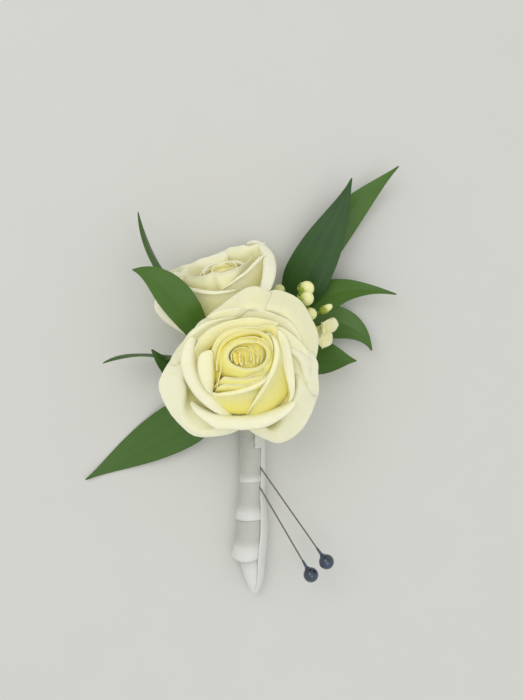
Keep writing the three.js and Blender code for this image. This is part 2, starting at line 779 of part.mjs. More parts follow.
const backBloom = bloomSolid(BACK_ROSE).subtract(bloomRoom(FRONT_ROSE));
add("rose_front_bloom", mainBody(bloomSolid(FRONT_ROSE)), finishes.petal);
add("rose_back_bloom", mainBody(restOnSurface(backBloom)), finishes.petal);

const frontCalyx = calyxSolid(FRONT_ROSE, 3.6, 5.5, 8.0, frontStem);
const backCalyx = restOnSurface(calyxSolid(BACK_ROSE, 3.2, 5.0, 5.0, backStem));
add("rose_front_stem", mainBody(frontCalyx.subtract(pierced)), finishes.stem);
add("rose_back_stem", mainBody(backCalyx.subtract(pierced)), finishes.stem);

for (const [name, sprig] of Object.entries(SPRIGS)) {
  const stem = [...sprig.stem, ...inHandle(...sprig.slot)];
  add(name, mainBody(sprigSolid(stem, sprig.leaves).subtract(pierced)), finishes.leaf);
}

add("filler_spray", mainBody(spraySolid().subtract(pierced)), finishes.bud);
add("filler_blossom", blossomSolid(), finishes.petal);

const tape = handleBore(TAPE_OUTER_RADIUS, HANDLE_TOP.y + 1, HANDLE_END.y).subtract(
  handleBore(TAPE_INNER_RADIUS, HANDLE_TOP.y + 2, HANDLE_END.y - 1),
);
add("stem_tape", mainBody(tape.subtract(pierced)), finishes.tape);

const ribbon = join([RIBBON_SECTIONS, STRIP_SECTIONS].map(handleSolid))
  .subtract(handleBore(RIBBON_INNER_RADIUS, HANDLE_TOP.y + 1, HANDLE_END.y - GAP))
  .subtract(pierced);
add("satin_ribbon", mainBody(restOnSurface(ribbon)), finishes.ribbon);

for (const [name, pin] of Object.entries(PINS)) {
  add(name + "_shaft", pinShaftSolid(pin), finishes.steel);
  add(name + "_head", pinHeadSolid(pin), finishes.pearl);
}

const box = new THREE.Box3().setFromObject(boutonniere);
const centre = box.getCenter(new THREE.Vector3());
boutonniere.position.set(-centre.x, -centre.y, -box.min.z);

export default boutonniere;
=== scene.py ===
"""The looks of a rose boutonniere that lies on its back, built around its packed model.

Shapes are written in design millimetres, with the picture's middle at the XY origin, +X to the
right, +Y towards the leaf tips and +Z up to the viewer. A last step turns them into metres in the
packed model's own frame.
"""

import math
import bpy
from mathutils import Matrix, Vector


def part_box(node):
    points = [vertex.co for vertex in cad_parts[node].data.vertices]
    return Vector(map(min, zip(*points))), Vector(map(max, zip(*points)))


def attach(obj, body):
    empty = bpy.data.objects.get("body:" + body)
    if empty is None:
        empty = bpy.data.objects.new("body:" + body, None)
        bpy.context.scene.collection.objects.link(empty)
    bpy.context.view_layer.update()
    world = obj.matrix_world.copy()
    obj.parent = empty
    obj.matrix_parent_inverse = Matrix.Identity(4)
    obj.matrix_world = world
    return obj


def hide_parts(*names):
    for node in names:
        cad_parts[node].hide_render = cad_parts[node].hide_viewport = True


bl_info = {
    "name": "Rose boutonniere",
    "version": (1, 0, 0),
    "blender": (4, 5, 0),
    "location": "3D View > Sidebar > Boutonniere",
    "description": "Builds the petals, leaves, ribbon, pins and stage of a rose boutonniere",
    "category": "Add Mesh",
}

from dataclasses import dataclass

import bpy
import numpy as np
from mathutils import Vector

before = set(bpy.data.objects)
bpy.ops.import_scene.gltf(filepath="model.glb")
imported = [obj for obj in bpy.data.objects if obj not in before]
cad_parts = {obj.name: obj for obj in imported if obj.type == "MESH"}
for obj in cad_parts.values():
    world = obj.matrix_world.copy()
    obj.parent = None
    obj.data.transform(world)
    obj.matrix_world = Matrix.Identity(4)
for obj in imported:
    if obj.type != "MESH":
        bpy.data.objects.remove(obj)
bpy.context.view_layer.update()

# Places that the pieces share, in design millimetres

RIBBON_LOW = (-9.9, -83.2)  # the design corner of the ribbon's box, which fixes the frame's shift
HANDLE_AXIS = (-3.1, 4.2)  # X and Z of the handle's axis
EYE_HEIGHT = 305.0
PICTURE_LEVEL = 5.0  # the height at which the picture's middle is aimed
FIELD_OF_VIEW = math.radians(43.3)

HEART = np.array([-4.35, -1.5])  # the heart of the front rose as it is seen
HEART_LEVEL = 40.0

ribbon_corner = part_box("satin_ribbon")[0]
SHIFT = np.array([ribbon_corner.x * 1000 - RIBBON_LOW[0], ribbon_corner.y * 1000 - RIBBON_LOW[1], 0])


def to_metres(points):
    """Design millimetres to metres in the packed model's frame."""
    return (np.asarray(points, float) + SHIFT) / 1000


def seen_from_front(x, y, z):
    """The point at height z that the viewer sees x right of and y above the front rose's heart."""
    spread = (EYE_HEIGHT - z) / (EYE_HEIGHT - HEART_LEVEL)
    return np.array([(HEART[0] + x) * spread, (HEART[1] + y) * spread, z])


FLOOR_CLEARANCE = 0.35  # how high a petal's middle surface lies where it rests on the floor
FLOOR_SOFTNESS = 0.6  # over what height it is pressed flat


def above_floor(points):
    """Points that would lie lower than the floor are pressed flat just above it."""
    points = np.array(points, float)
    over = (points[..., 2] - FLOOR_CLEARANCE) / FLOOR_SOFTNESS
    points[..., 2] = FLOOR_CLEARANCE + FLOOR_SOFTNESS * np.logaddexp(0, over)
    return points


# Small helpers


def linear_colour(hex_colour, alpha=1.0):
    """An sRGB hex colour, such as "#e7e4b1", as the linear RGBA that shaders take."""
    channels = [int(hex_colour[i : i + 2], 16) / 255 for i in (1, 3, 5)]
    linear = [c / 12.92 if c <= 0.04045 else ((c + 0.055) / 1.055) ** 2.4 for c in channels]
    return (*linear, alpha)


def smooth(x):
    x = np.clip(x, 0, 1)
    return x * x * (3 - 2 * x)


def unit(vector):
    vector = np.asarray(vector, float)
    return vector / np.maximum(np.linalg.norm(vector, axis=-1, keepdims=True), 1e-12)


def spline_weights(count, x):
    """The share of each of count evenly spaced knots in a smooth curve through them at x."""
    x = np.asarray(x, float)
    at = np.clip(x, 0, 1) * (count - 1)
    start = np.minimum(at.astype(int), count - 2)
    f = at - start
    shares = (
        -0.5 * f + f**2 - 0.5 * f**3,
        1 - 2.5 * f**2 + 1.5 * f**3,
        0.5 * f + 2 * f**2 - 1.5 * f**3,
        -0.5 * f**2 + 0.5 * f**3,
    )
    weights = np.zeros((count, *x.shape))
    for offset, share in zip((-1, 0, 1, 2), shares):
        knot = np.clip(start + offset, 0, count - 1)
        for k in range(count):
            weights[k] += np.where(knot == k, share, 0)
    return weights


def along_knots(knots, x):
    """Points of a smooth curve through knots, at x from 0 to 1."""
    return np.tensordot(spline_weights(len(knots), x), np.asarray(knots, float), axes=(0, 0))


def bezier(points, t):
    """Points and directions of a cubic curve at t."""
    p0, p1, p2, p3 = (np.asarray(p, float) for p in points)
    t = np.asarray(t, float)[..., None]
    u = 1 - t
    place = u**3 * p0 + 3 * u**2 * t * p1 + 3 * u * t**2 * p2 + t**3 * p3
    slope = 3 * u**2 * (p1 - p0) + 6 * u * t * (p2 - p1) + 3 * t**2 * (p3 - p2)
    return place, unit(slope)


EDGE_SHARE = 0.04  # the square of the share of its thickness that a sheet keeps at its edges


class Shape:
    """The points, faces and painted values of one piece, gathered in design millimetres."""

    def __init__(self, *values):
        self.points = []
        self.faces = []
        self.uvs = []
        self.values = {name: [] for name in values}

    def count(self):
        return sum(len(block) for block in self.points)

    def add_points(self, points, uvs, **values):
        """Adds a block of points and gives the index of its first."""
        first = self.count()
        self.points.append(points)
        self.uvs.append(uvs)
        for name, store in self.values.items():
            store.append(np.broadcast_to(values.get(name, 0.0), len(points)))
        return first

    def add_sheet(self, grid, thickness, edge=(0.1, 0.08), **values):
        """A thin closed sheet on both sides of a grid of points, thinner towards its free edges.

        Rows run from root to rim and columns across. Its outer face looks along the direction
        of the columns crossed with that of the rows.
        """
        rows, columns = grid.shape[:2]
        across = np.gradient(grid, axis=1)
        upward = np.gradient(grid, axis=0)
        normal = unit(np.cross(across, upward))
        s = np.abs(np.linspace(-1, 1, columns))
        t = np.linspace(0, 1, rows)
        to_side = np.clip(s - 1 + edge[0], 0, 1) / edge[0]
        to_rim = np.clip(t - 1 + edge[1], 0, 1) / edge[1]
        side_share = np.sqrt(np.clip(1 - to_side**2, EDGE_SHARE, 1))
        rim_share = np.sqrt(np.clip(1 - to_rim**2, EDGE_SHARE, 1))
        half = 0.5 * thickness * side_share[None, :, None] * rim_share[:, None, None]
        u, v = np.meshgrid(np.linspace(0, 1, columns), t)
        uvs = np.stack([u, v], -1).reshape(-1, 2)
        flat = {k: np.broadcast_to(w, (rows, columns)).ravel() for k, w in values.items()}
        outer = self.add_points((grid + normal * half).reshape(-1, 3), uvs, inner=0.0, **flat)
        inner = self.add_points((grid - normal * half).reshape(-1, 3), uvs, inner=1.0, **flat)
        for j in range(rows - 1):
            for i in range(columns - 1):
                a, b = j * columns + i, (j + 1) * columns + i
                self.faces.append((outer + a, outer + a + 1, outer + b + 1, outer + b))
                self.faces.append((inner + a, inner + b, inner + b + 1, inner + a + 1))
        loop = [j * columns for j in range(rows - 1, 0, -1)]
        loop += list(range(columns - 1))
        loop += [j * columns + columns - 1 for j in range(rows - 1)]
        loop += [(rows - 1) * columns + i for i in range(columns - 1, 0, -1)]
        for a, b in zip(loop, loop[1:] + loop[:1]):
            self.faces.append((inner + a, inner + b, outer + b, outer + a))

    def close_rings(self, first, rings, sides):
        """Adds the faces between rings of points that start at first, and both ends."""
        for k in range(rings - 1):
            for i in range(sides):
                a, b = first + k * sides + i, first + k * sides + (i + 1) % sides
                self.faces.append((a, b, b + sides, a + sides))
        last = first + (rings - 1) * sides
        self.faces.append(tuple(first + i for i in range(sides - 1, -1, -1)))
        self.faces.append(tuple(last + i for i in range(sides)))

    def add_turned(self, rings, sides, place, **values):
        """A closed round solid from [radius, height] rings. place carries it into the design."""
        turns = np.linspace(0, 2 * math.pi, sides, endpoint=False)
        points, uvs = [], []
        for k, (radius, height) in enumerate(rings):
            for turn in turns:
                points.append((radius * math.cos(turn), radius * math.sin(turn), height))
                uvs.append((turn / (2 * math.pi), k / (len(rings) - 1)))
        first = self.add_points(place(np.array(points)), np.array(uvs), **values)
        self.close_rings(first, len(rings), sides)

    def build(self, name, material):
        """Makes the object, with its place in its mesh."""
        mesh = bpy.data.meshes.new(name)
        mesh.from_pydata(to_metres(np.concatenate(self.points)).tolist(), [], self.faces)
        corner_points = np.zeros(len(mesh.loops), int)
        mesh.loops.foreach_get("vertex_index", corner_points)
        uv_layer = mesh.uv_layers.new(name="surface")
        uv_layer.data.foreach_set("uv", np.concatenate(self.uvs)[corner_points].ravel())
        for value_name, blocks in self.values.items():
            attribute = mesh.attributes.new(value_name, "FLOAT", "POINT")
            attribute.data.foreach_set("value", np.concatenate(blocks).astype(np.float32))
        mesh.polygons.foreach_set("use_smooth", [True] * len(mesh.polygons))
        mesh.validate()
        piece = bpy.data.objects.new(name, mesh)
        bpy.context.scene.collection.objects.link(piece)
        mesh.materials.append(material)
        return piece


def dress(piece, slot, *nodes):
    """Lets a finished piece ride on the boutonniere in place of its nodes."""
    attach(piece, "root")
    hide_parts(*nodes)


# Node trees


def add_node(tree, kind, inputs=None, **settings):
    """Adds a node to a tree with its settings, and links or fills its inputs."""
    made = tree.nodes.new(kind)
    for name, value in settings.items():
        setattr(made, name, value)
    for key, value in (inputs or {}).items():
        if isinstance(value, bpy.types.NodeSocket):
            tree.links.new(value, made.inputs[key])
        else:
            made.inputs[key].default_value = value
    return made


def new_material(name, **shader_values):
    """A material with one Principled shader whose constant sockets are set. Gives its tree too."""
    material = bpy.data.materials.new(name)
    material.use_nodes = True
    tree = material.node_tree
    shader = tree.nodes["Principled BSDF"]
    for socket, value in shader_values.items():
        shader.inputs[socket.replace("_", " ")].default_value = value
    return material, tree, shader


def attribute(tree, name):
    return add_node(tree, "ShaderNodeAttribute", attribute_name=name).outputs["Fac"]


def maths(tree, operation, a, b=0.0, clamp=False):
    sockets = {0: a, 1: b}
    return add_node(tree, "ShaderNodeMath", sockets, operation=operation, use_clamp=clamp).outputs[0]


def blend_colour(tree, share, a, b, mode="MIX"):
    sockets = {0: share, 6: a, 7: b}
    return add_node(
        tree, "ShaderNodeMix", sockets, data_type="RGBA", blend_type=mode, clamp_factor=True
    ).outputs[2]


def map_range(tree, value, low, high, to_low=0.0, to_high=1.0):
    sockets = {"Value": value, "From Min": low, "From Max": high, "To Min": to_low, "To Max": to_high}
    return add_node(tree, "ShaderNodeMapRange", sockets, interpolation_type="SMOOTHSTEP").outputs[0]


def stretched(tree, coordinates, scale):
    sockets = {"Vector": coordinates, "Scale": scale}
    return add_node(tree, "ShaderNodeMapping", sockets).outputs["Vector"]


def noise(tree, coordinates, scale, detail=3.0, roughness=0.5):
    sockets = {"Vector": coordinates, "Scale": scale, "Detail": detail, "Roughness": roughness}
    return add_node(tree, "ShaderNodeTexNoise", sockets).outputs["Fac"]


def bump(tree, height, distance, strength=1.0, below=None):
    sockets = {"Height": height, "Distance": distance, "Strength": strength}
    if below is not None:
        sockets["Normal"] = below
    return add_node(tree, "ShaderNodeBump", sockets).outputs["Normal"]


def surface_coordinates(tree):
    return add_node(tree, "ShaderNodeUVMap", uv_map="surface").outputs["UV"]


def object_coordinates(tree):
    return add_node(tree, "ShaderNodeTexCoord").outputs["Object"]


# Settings


class PetalSettings(bpy.types.PropertyGroup):
    """Colours and sizes of the rose petals."""

    thickness: bpy.props.FloatProperty(
        name="Thickness", description="Thickness of a petal in mm", default=0.26, min=0.1, max=1.0
    )
    cream: bpy.props.FloatVectorProperty(
        name="Cream",
        description="Colour of the open outer petals",
        subtype="COLOR",
        default=linear_colour("#f4f3d9")[:3],
    )
    heart: bpy.props.FloatVectorProperty(
        name="Heart",
        description="Colour deep in the heart of the rose",
        subtype="COLOR",
        default=linear_colour("#faee84")[:3],
    )
    claw: bpy.props.FloatVectorProperty(
        name="Claw",
        description="Greenish yellow where a petal is attached",
        subtype="COLOR",
        default=linear_colour("#ecec9c")[:3],
    )


class GreenSettings(bpy.types.PropertyGroup):
    """Colours and sizes of the leaves and stems."""

    thickness: bpy.props.FloatProperty(
        name="Leaf thickness", description="Thickness of a leaf in mm", default=0.45, min=0.1, max=1.0
    )
    leaf: bpy.props.FloatVectorProperty(
        name="Leaf",
        description="Colour of the shiny upper side of a ruscus leaf",
        subtype="COLOR",
        default=linear_colour("#25471a")[:3],
    )
    leaf_pale: bpy.props.FloatVectorProperty(
        name="Leaf, pale",
        description="Colour of the veins and the underside",
        subtype="COLOR",
        default=linear_colour("#5c7f36")[:3],
    )
    stem: bpy.props.FloatVectorProperty(
        name="Stem",
        description="Colour of the rose stems and sepals",
        subtype="COLOR",
        default=linear_colour("#6f8f45")[:3],
    )


class RibbonSettings(bpy.types.PropertyGroup):
    """Colour and thickness of the satin ribbon."""

    thickness: bpy.props.FloatProperty(
        name="Thickness", description="Thickness of the ribbon in mm", default=0.3, min=0.1, max=1.0
    )
    # The satin colour is partly the ribbon's own colour and partly painted shade: it is set greyer for
    # the shade the ribbon stands in.
    satin: bpy.props.FloatVectorProperty(
        name="Satin",
        description="Colour of the ribbon",
        subtype="COLOR",
        default=linear_colour("#dcddd8")[:3],
    )


class PinSettings(bpy.types.PropertyGroup):
    """Sizes and colours of the two corsage pins."""

    head_radius: bpy.props.FloatProperty(
        name="Head radius", description="Radius of a pearl head in mm", default=2.5, min=1, max=4
    )
    shaft_radius: bpy.props.FloatProperty(
        name="Shaft radius", description="Radius of a shaft in mm", default=0.26, min=0.2, max=0.6
    )
    pearl: bpy.props.FloatVectorProperty(
        name="Pearl",
        description="Colour of the heads",
        subtype="COLOR",
        default=linear_colour("#142233")[:3],
    )


class StageSettings(bpy.types.PropertyGroup):
    """Floor and light."""

    floor: bpy.props.FloatVectorProperty(
        name="Floor", description="Colour of the floor", subtype="COLOR",
        default=linear_colour("#d2d2cd")[:3],
    )
    light_power: bpy.props.FloatProperty(
        name="Light power", description="Power of each large soft light", default=0.79, unit="POWER"
    )
    sky: bpy.props.FloatProperty(
        name="Sky", description="Strength of the even light from all sides", default=0.82
    )


# Materials


def petal_material(settings, name="Rose petal, fresh and velvety", cream=None):
    """Living petal: matt and velvety, lets light through, fine veins fan out from the claw."""
    material, tree, shader = new_material(
        name,
        Roughness=0.62,
        IOR=1.4,
        Subsurface_Weight=0.35,
        Subsurface_Radius=(1.0, 0.98, 0.85),
        Subsurface_Scale=0.0008,
        Sheen_Weight=0.12,
        Sheen_Roughness=0.4,
    )
    along = attribute(tree, "along")
    warmth = attribute(tree, "warmth")
    shade = attribute(tree, "shade")
    inner = attribute(tree, "inner")
    uv = surface_coordinates(tree)
    cream = cream or (*settings.cream, 1)
    depth = map_range(tree, along, 0.92, 0.25, 0.36, 1.0)
    glow = maths(tree, "MULTIPLY", warmth, depth, clamp=True)
    colour = blend_colour(tree, glow, cream, (*settings.heart, 1))
    root = map_range(tree, along, 0.42, 0.12)
    colour = blend_colour(tree, maths(tree, "MULTIPLY", root, 0.7), colour, (*settings.claw, 1))
    # Lighter over the rim and the turned lip: partly the petal's own paler margin, and partly a painted
    # highlight where the lips turn up to the light.
    rim = maths(tree, "MULTIPLY", map_range(tree, along, 0.78, 0.95), 0.32)
    colour = blend_colour(tree, rim, colour, linear_colour("#f9f7db"))
    # Sheets deep in the hollow, with warmth over 1.8, turn amber towards their foot: partly the heart's
    # own deeper yellow and partly painted shade in the hollow.
    packed = map_range(tree, warmth, 1.8, 2.4)
    amber_and_shade = maths(tree, "MULTIPLY", packed, map_range(tree, along, 0.8, 0.5, 0.0, 0.6))
    colour = blend_colour(tree, amber_and_shade, colour, linear_colour("#ecc63e"))
    # Each petal's shade value darkens it by up to 12 percent: a tone that differs between petals, and on
    # the broad bud petals across the front also painted shade, as they lie in shade.
    tone = map_range(tree, shade, 0.0, 1.0, 0.0, 0.12)
    colour = blend_colour(tree, tone, colour, linear_colour("#dedeaa"), "MULTIPLY")
    blotch = noise(tree, stretched(tree, uv, (3.0, 1.5, 1.0)), 2.2)
    colour = blend_colour(
        tree, map_range(tree, blotch, 0.5, 0.75, 0.0, 0.16), colour, linear_colour("#e2e2a6")
    )
    # Veins 0.4 mm apart are drawn about 0.8 mm apart, so that they show at the picture's size.
    vein_lines = noise(tree, stretched(tree, uv, (34.0, 1.6, 1.0)), 1.0, 2.0, 0.4)
    veins = map_range(tree, vein_lines, 0.42, 0.62)
    colour = blend_colour(tree, maths(tree, "MULTIPLY", veins, 0.07), colour, linear_colour("#dcd88f"))
    tree.links.new(colour, shader.inputs["Base Color"])
    soft = maths(tree, "MULTIPLY", inner, 0.08)
    tree.links.new(maths(tree, "SUBTRACT", 0.62, soft), shader.inputs["Roughness"])
    fold_relief = noise(tree, stretched(tree, uv, (5.0, 2.2, 1.0)), 1.6, 2.0)
    relief = bump(tree, fold_relief, 0.0009, 0.35)
    relief = bump(tree, vein_lines, 0.0001, 0.4, relief)
    tree.links.new(relief, shader.inputs["Normal"])
    return material


def leaf_material(settings):
    """Ruscus: leathery with a waxy shine, darker above, long parallel veins from base to tip."""
    material, tree, shader = new_material("Ruscus leaf, waxy", Roughness=0.42, IOR=1.42)
    uv = surface_coordinates(tree)
    place = object_coordinates(tree)
    inner = attribute(tree, "inner")
    shade = attribute(tree, "shade")
    lines = noise(tree, stretched(tree, uv, (26.0, 0.7, 1.0)), 1.0, 1.0, 0.3)
    veins = map_range(tree, lines, 0.48, 0.64)
    patches = noise(tree, place, 70.0, 3.0)
    # Each leaf's shade value blends its green towards a paler one: partly the leaves' own tone and partly
    # painted light, paler where a leaf faces the light and darkest on the upper front leaf, which turns
    # from it.
    colour = blend_colour(tree, shade, (*settings.leaf, 1), linear_colour("#557d22"))
    patch_share = map_range(tree, patches, 0.35, 0.7, 0.0, 0.3)
    colour = blend_colour(tree, patch_share, colour, linear_colour("#3c6322"))
    vein_share = maths(tree, "MULTIPLY", veins, 0.08)
    colour = blend_colour(tree, vein_share, colour, (*settings.leaf_pale, 1))
    split = add_node(tree, "ShaderNodeSeparateXYZ", {0: uv}).outputs
    from_rib = maths(tree, "ABSOLUTE", maths(tree, "SUBTRACT", split[0], 0.5))
    rib = map_range(tree, from_rib, 0.03, 0.005)
    colour = blend_colour(tree, maths(tree, "MULTIPLY", rib, 0.1), colour, (*settings.leaf_pale, 1))
    under = maths(tree, "MULTIPLY", inner, 0.35)
    colour = blend_colour(tree, under, colour, linear_colour("#7c9458"))
    tree.links.new(colour, shader.inputs["Base Color"])
    sheen_spots = map_range(tree, patches, 0.3, 0.7, 0.34, 0.5)
    tree.links.new(sheen_spots, shader.inputs["Roughness"])
    relief = bump(tree, lines, 0.00012, 0.6)
    relief = bump(tree, rib, 0.0002, 0.4, relief)
    tree.links.new(relief, shader.inputs["Normal"])
    return material


def stem_material(settings):
    """Green bark of a young stem: half matt, faint streaks along it and small paler spots."""
    material, tree, shader = new_material("Young rose bark", Roughness=0.5, IOR=1.45)
    place = object_coordinates(tree)
    streaks = noise(tree, stretched(tree, place, (1.0, 0.2, 1.0)), 900.0, 2.0)
    spots = noise(tree, place, 1300.0, 1.0)
    colour = blend_colour(
        tree, map_range(tree, streaks, 0.35, 0.7), (*settings.stem, 1), linear_colour("#8aa65a")
    )
    spot_share = map_range(tree, spots, 0.62, 0.72, 0.0, 0.5)
    colour = blend_colour(tree, spot_share, colour, linear_colour("#b9c08a"))
    tree.links.new(colour, shader.inputs["Base Color"])
    tree.links.new(bump(tree, streaks, 0.0001, 0.5), shader.inputs["Normal"])
    return material


def bud_material():
    """Unopened filler bud: thin waxy skin, cream on top and green where the stalk joins."""
    material, tree, shader = new_material(
        "Filler bud skin",
        Roughness=0.42,
        IOR=1.42,
        Subsurface_Weight=0.25,
        Subsurface_Radius=(1.0, 0.9, 0.3),
        Subsurface_Scale=0.0012,
    )
    along = attribute(tree, "along")
    place = object_coordinates(tree)
    mottle = noise(tree, place, 900.0, 2.0)
    colour = blend_colour(
        tree, map_range(tree, along, 0.26, 0.7), linear_colour("#93a636"), linear_colour("#f2f2b4")
    )
    mottle_share = map_range(tree, mottle, 0.4, 0.7, 0.0, 0.25)
    colour = blend_colour(tree, mottle_share, colour, linear_colour("#cdd377"))
    tree.links.new(colour, shader.inputs["Base Color"])
    tree.links.new(bump(tree, mottle, 0.00012, 0.4), shader.inputs["Normal"])
    return material


def satin_material(settings):
    """Woven polyester satin: long floats give a soft sheen along the ribbon, ribs are very fine."""
    material, tree, shader = new_material(
        "Woven satin ribbon",
        Roughness=0.38,
        IOR=1.5,
        Sheen_Weight=0.25,
        Sheen_Roughness=0.35,
        Anisotropic=0.4,
        Subsurface_Weight=0.08,
        Subsurface_Radius=(1.0, 1.0, 1.0),
        Subsurface_Scale=0.001,
    )
    uv = surface_coordinates(tree)
    # Real ribs are 0.15 mm apart. They are drawn about 0.35 mm apart on the wide laps and 1.3 mm
    # apart along the strip, so that they show.
    ribs = add_node(
        tree,
        "ShaderNodeTexWave",
        {"Vector": uv, "Scale": 14.0, "Distortion": 0.6, "Detail": 1.0, "Detail Scale": 3.0},
        wave_type="BANDS",
        bands_direction="Y",
    ).outputs["Fac"]
    creases = noise(tree, stretched(tree, uv, (2.0, 5.0, 1.0)), 2.0, 3.0)
    single = attribute(tree, "single")
    shadow = map_range(tree, creases, 0.35, 0.65, 0.0, 0.22)
    colour = blend_colour(tree, shadow, (*settings.satin, 1), linear_colour("#d2d3cf"))
    # Single ribbon is greyer: partly the tape showing through, and partly painted shade just under the
    # lap above.
    colour = blend_colour(tree, single, colour, linear_colour("#bbbdb5"))
    colour = blend_colour(tree, maths(tree, "MULTIPLY", ribs, 0.05), colour, linear_colour("#bfc0bd"))
    tree.links.new(colour, shader.inputs["Base Color"])
    tree.links.new(map_range(tree, creases, 0.3, 0.7, 0.32, 0.46), shader.inputs["Roughness"])
    relief = bump(tree, creases, 0.0008, 0.25)
    relief = bump(tree, ribs, 0.00005, 0.4, relief)
    tree.links.new(relief, shader.inputs["Normal"])
    return material


def tape_material():
    """Waxed crepe paper tape: matt, finely wrinkled across, with painted shade that makes it a little
    darker in the wrinkles.
    """
    material, tree, shader = new_material("Waxed crepe floral tape", Roughness=0.75, IOR=1.45)
    place = object_coordinates(tree)
    crepe = noise(tree, stretched(tree, place, (0.3, 1.0, 0.3)), 2500.0, 2.0)
    # Painted shade: darker where the wrinkles dip.
    colour = blend_colour(tree, crepe, linear_colour("#4c683b"), linear_colour("#6c8955"))
    tree.links.new(colour, shader.inputs["Base Color"])
    tree.links.new(bump(tree, crepe, 0.0002, 0.8), shader.inputs["Normal"])
    return material


def pearl_material(settings):
    """Dipped pearl lacquer over glass: deep navy with a clear gloss and a faint cloudy lustre."""
    material, tree, shader = new_material(
        "Navy pearl lacquer", Roughness=0.16, IOR=1.52, Coat_Weight=0.8, Coat_Roughness=0.04
    )
    cloud = noise(tree, object_coordinates(tree), 500.0, 2.0)
    share = map_range(tree, cloud, 0.35, 0.7)
    colour = blend_colour(tree, share, (*settings.pearl, 1), linear_colour("#203c58"))
    tree.links.new(colour, shader.inputs["Base Color"])
    tree.links.new(map_range(tree, cloud, 0.3, 0.7, 0.12, 0.22), shader.inputs["Roughness"])
    return material


def steel_material():
    """Drawn steel wire with a dull grey-brown plating: fine draw marks along the shaft."""
    material, tree, shader = new_material("Drawn steel pin wire", Metallic=1.0, Roughness=0.38)
    place = object_coordinates(tree)
    marks = noise(tree, stretched(tree, place, (1.0, 0.15, 1.0)), 3000.0, 2.0)
    colour = blend_colour(tree, marks, linear_colour("#6b665c"), linear_colour("#8a8477"))
    tree.links.new(colour, shader.inputs["Base Color"])
    tree.links.new(map_range(tree, marks, 0.3, 0.7, 0.3, 0.46), shader.inputs["Roughness"])
    return material


def floor_material(settings):
    """Painted board: plain, matt and pale."""
    material, tree, shader = new_material("Pale painted board", Roughness=0.8)
    grain = noise(tree, object_coordinates(tree), 60.0, 4.0)
    share = map_range(tree, grain, 0.3, 0.7, 0.0, 0.1)
    colour = blend_colour(tree, share, (*settings.floor, 1), linear_colour("#cbcbc6"))
    tree.links.new(colour, shader.inputs["Base Color"])
    return material


# Roses


@dataclass
class Rose:
    """Where a bloom grows. right is the direction of its zero azimuth."""

    base: tuple
    axis: tuple
    right: tuple
    flatten: float = 1.0

    def basis(self):
        z = unit(self.axis)
        x = unit(np.asarray(self.right, float) - np.dot(self.right, z) * z)
        return np.stack([x, np.cross(z, x), z], axis=1)

    def to_design(self, local):
        local = np.asarray(local, float) * (1, self.flatten, 1)
        return local @ self.basis().T + np.asarray(self.base, float)

    def to_flower(self, points):
        local = (np.asarray(points, float) - np.asarray(self.base, float)) @ self.basis()
        return local / (1, self.flatten, 1)


FRONT_ROSE = Rose(base=(-7.3, -7.2, 18.5), axis=(0.1, 0.21, 0.97), right=(1, 0, 0))
BACK_ROSE = Rose(base=(-8.2, 8.7, 5.4), axis=(-0.2, 0.85, 0.486), right=(1, 0.22, 0), flatten=0.84)

PETAL_ROOT = (2.5, 1.0)  # radius and height where every petal leaves the rose
PETAL_START = 0.1
POINT_WIDTH = 0.09


@dataclass
class Petal:
    """A petal as a wall that rises from the root over its belly to its fold, then a turned lip.

    The fold is given by knots from one side to the other: azimuth, radius, height and the
    length of the lip past it. shoulder is where the wall comes from, measured from the fold.
    """

    fold: np.ndarray
    belly: tuple
    shoulder: tuple
    roll: tuple = (0.5, 110)  # radius of the turned lip in mm, and how far it turns in degrees
    warmth: float = 0.5
    wave: float = 0.2
    shade: float = 0.0
    point: tuple = (0.0, 0.0)  # where across the rim its small tip is, from -1 to 1, and how long


def folded(rose, points):
    """Knots of a fold from its points in the design and the lip at each."""
    local = rose.to_flower(np.array([point[:3] for point in points]))
    azimuth = np.unwrap(np.arctan2(local[:, 1], local[:, 0]))
    radius = np.hypot(local[:, 0], local[:, 1])
    lips = np.array([point[3] for point in points])
    knots = np.stack([azimuth, radius, local[:, 2], lips], axis=1)
    return knots if azimuth[-1] > azimuth[0] else knots[::-1]


def seen_folds(points):
    """Points at the height z that are seen x right of and y above the front rose's heart."""
    return [(*seen_from_front(x, y, z), lip[0] if lip else 0.0) for x, y, z, *lip in points]


def seen_folds_on(rose, points):
    """The same, with how high each point stands on its rose in place of z."""
    axis = unit(rose.axis)
    found = []
    for x, y, stand, *lip in points:
        low, high = seen_from_front(x, y, 0.0), seen_from_front(x, y, HEART_LEVEL)
        at_low, at_high = axis @ (low - rose.base), axis @ (high - rose.base)
        place = low + (high - low) * (stand - at_low) / (at_high - at_low)
        found.append((*place, lip[0] if lip else 0.0))
    return found


def drawn_fold(azimuth, span, radius, height, drop=2.0, lip=0.0):
    """Knots of an even fold: its middle's azimuth and half its span in degrees, then its size."""
    across = np.linspace(-1, 1, 5)
    return np.stack(
        [
            np.radians(azimuth + span * across),
            radius + 0.5 * across,
            height - drop * across**2,
            lip * (1 - across**4),
        ],
        axis=1,
    )


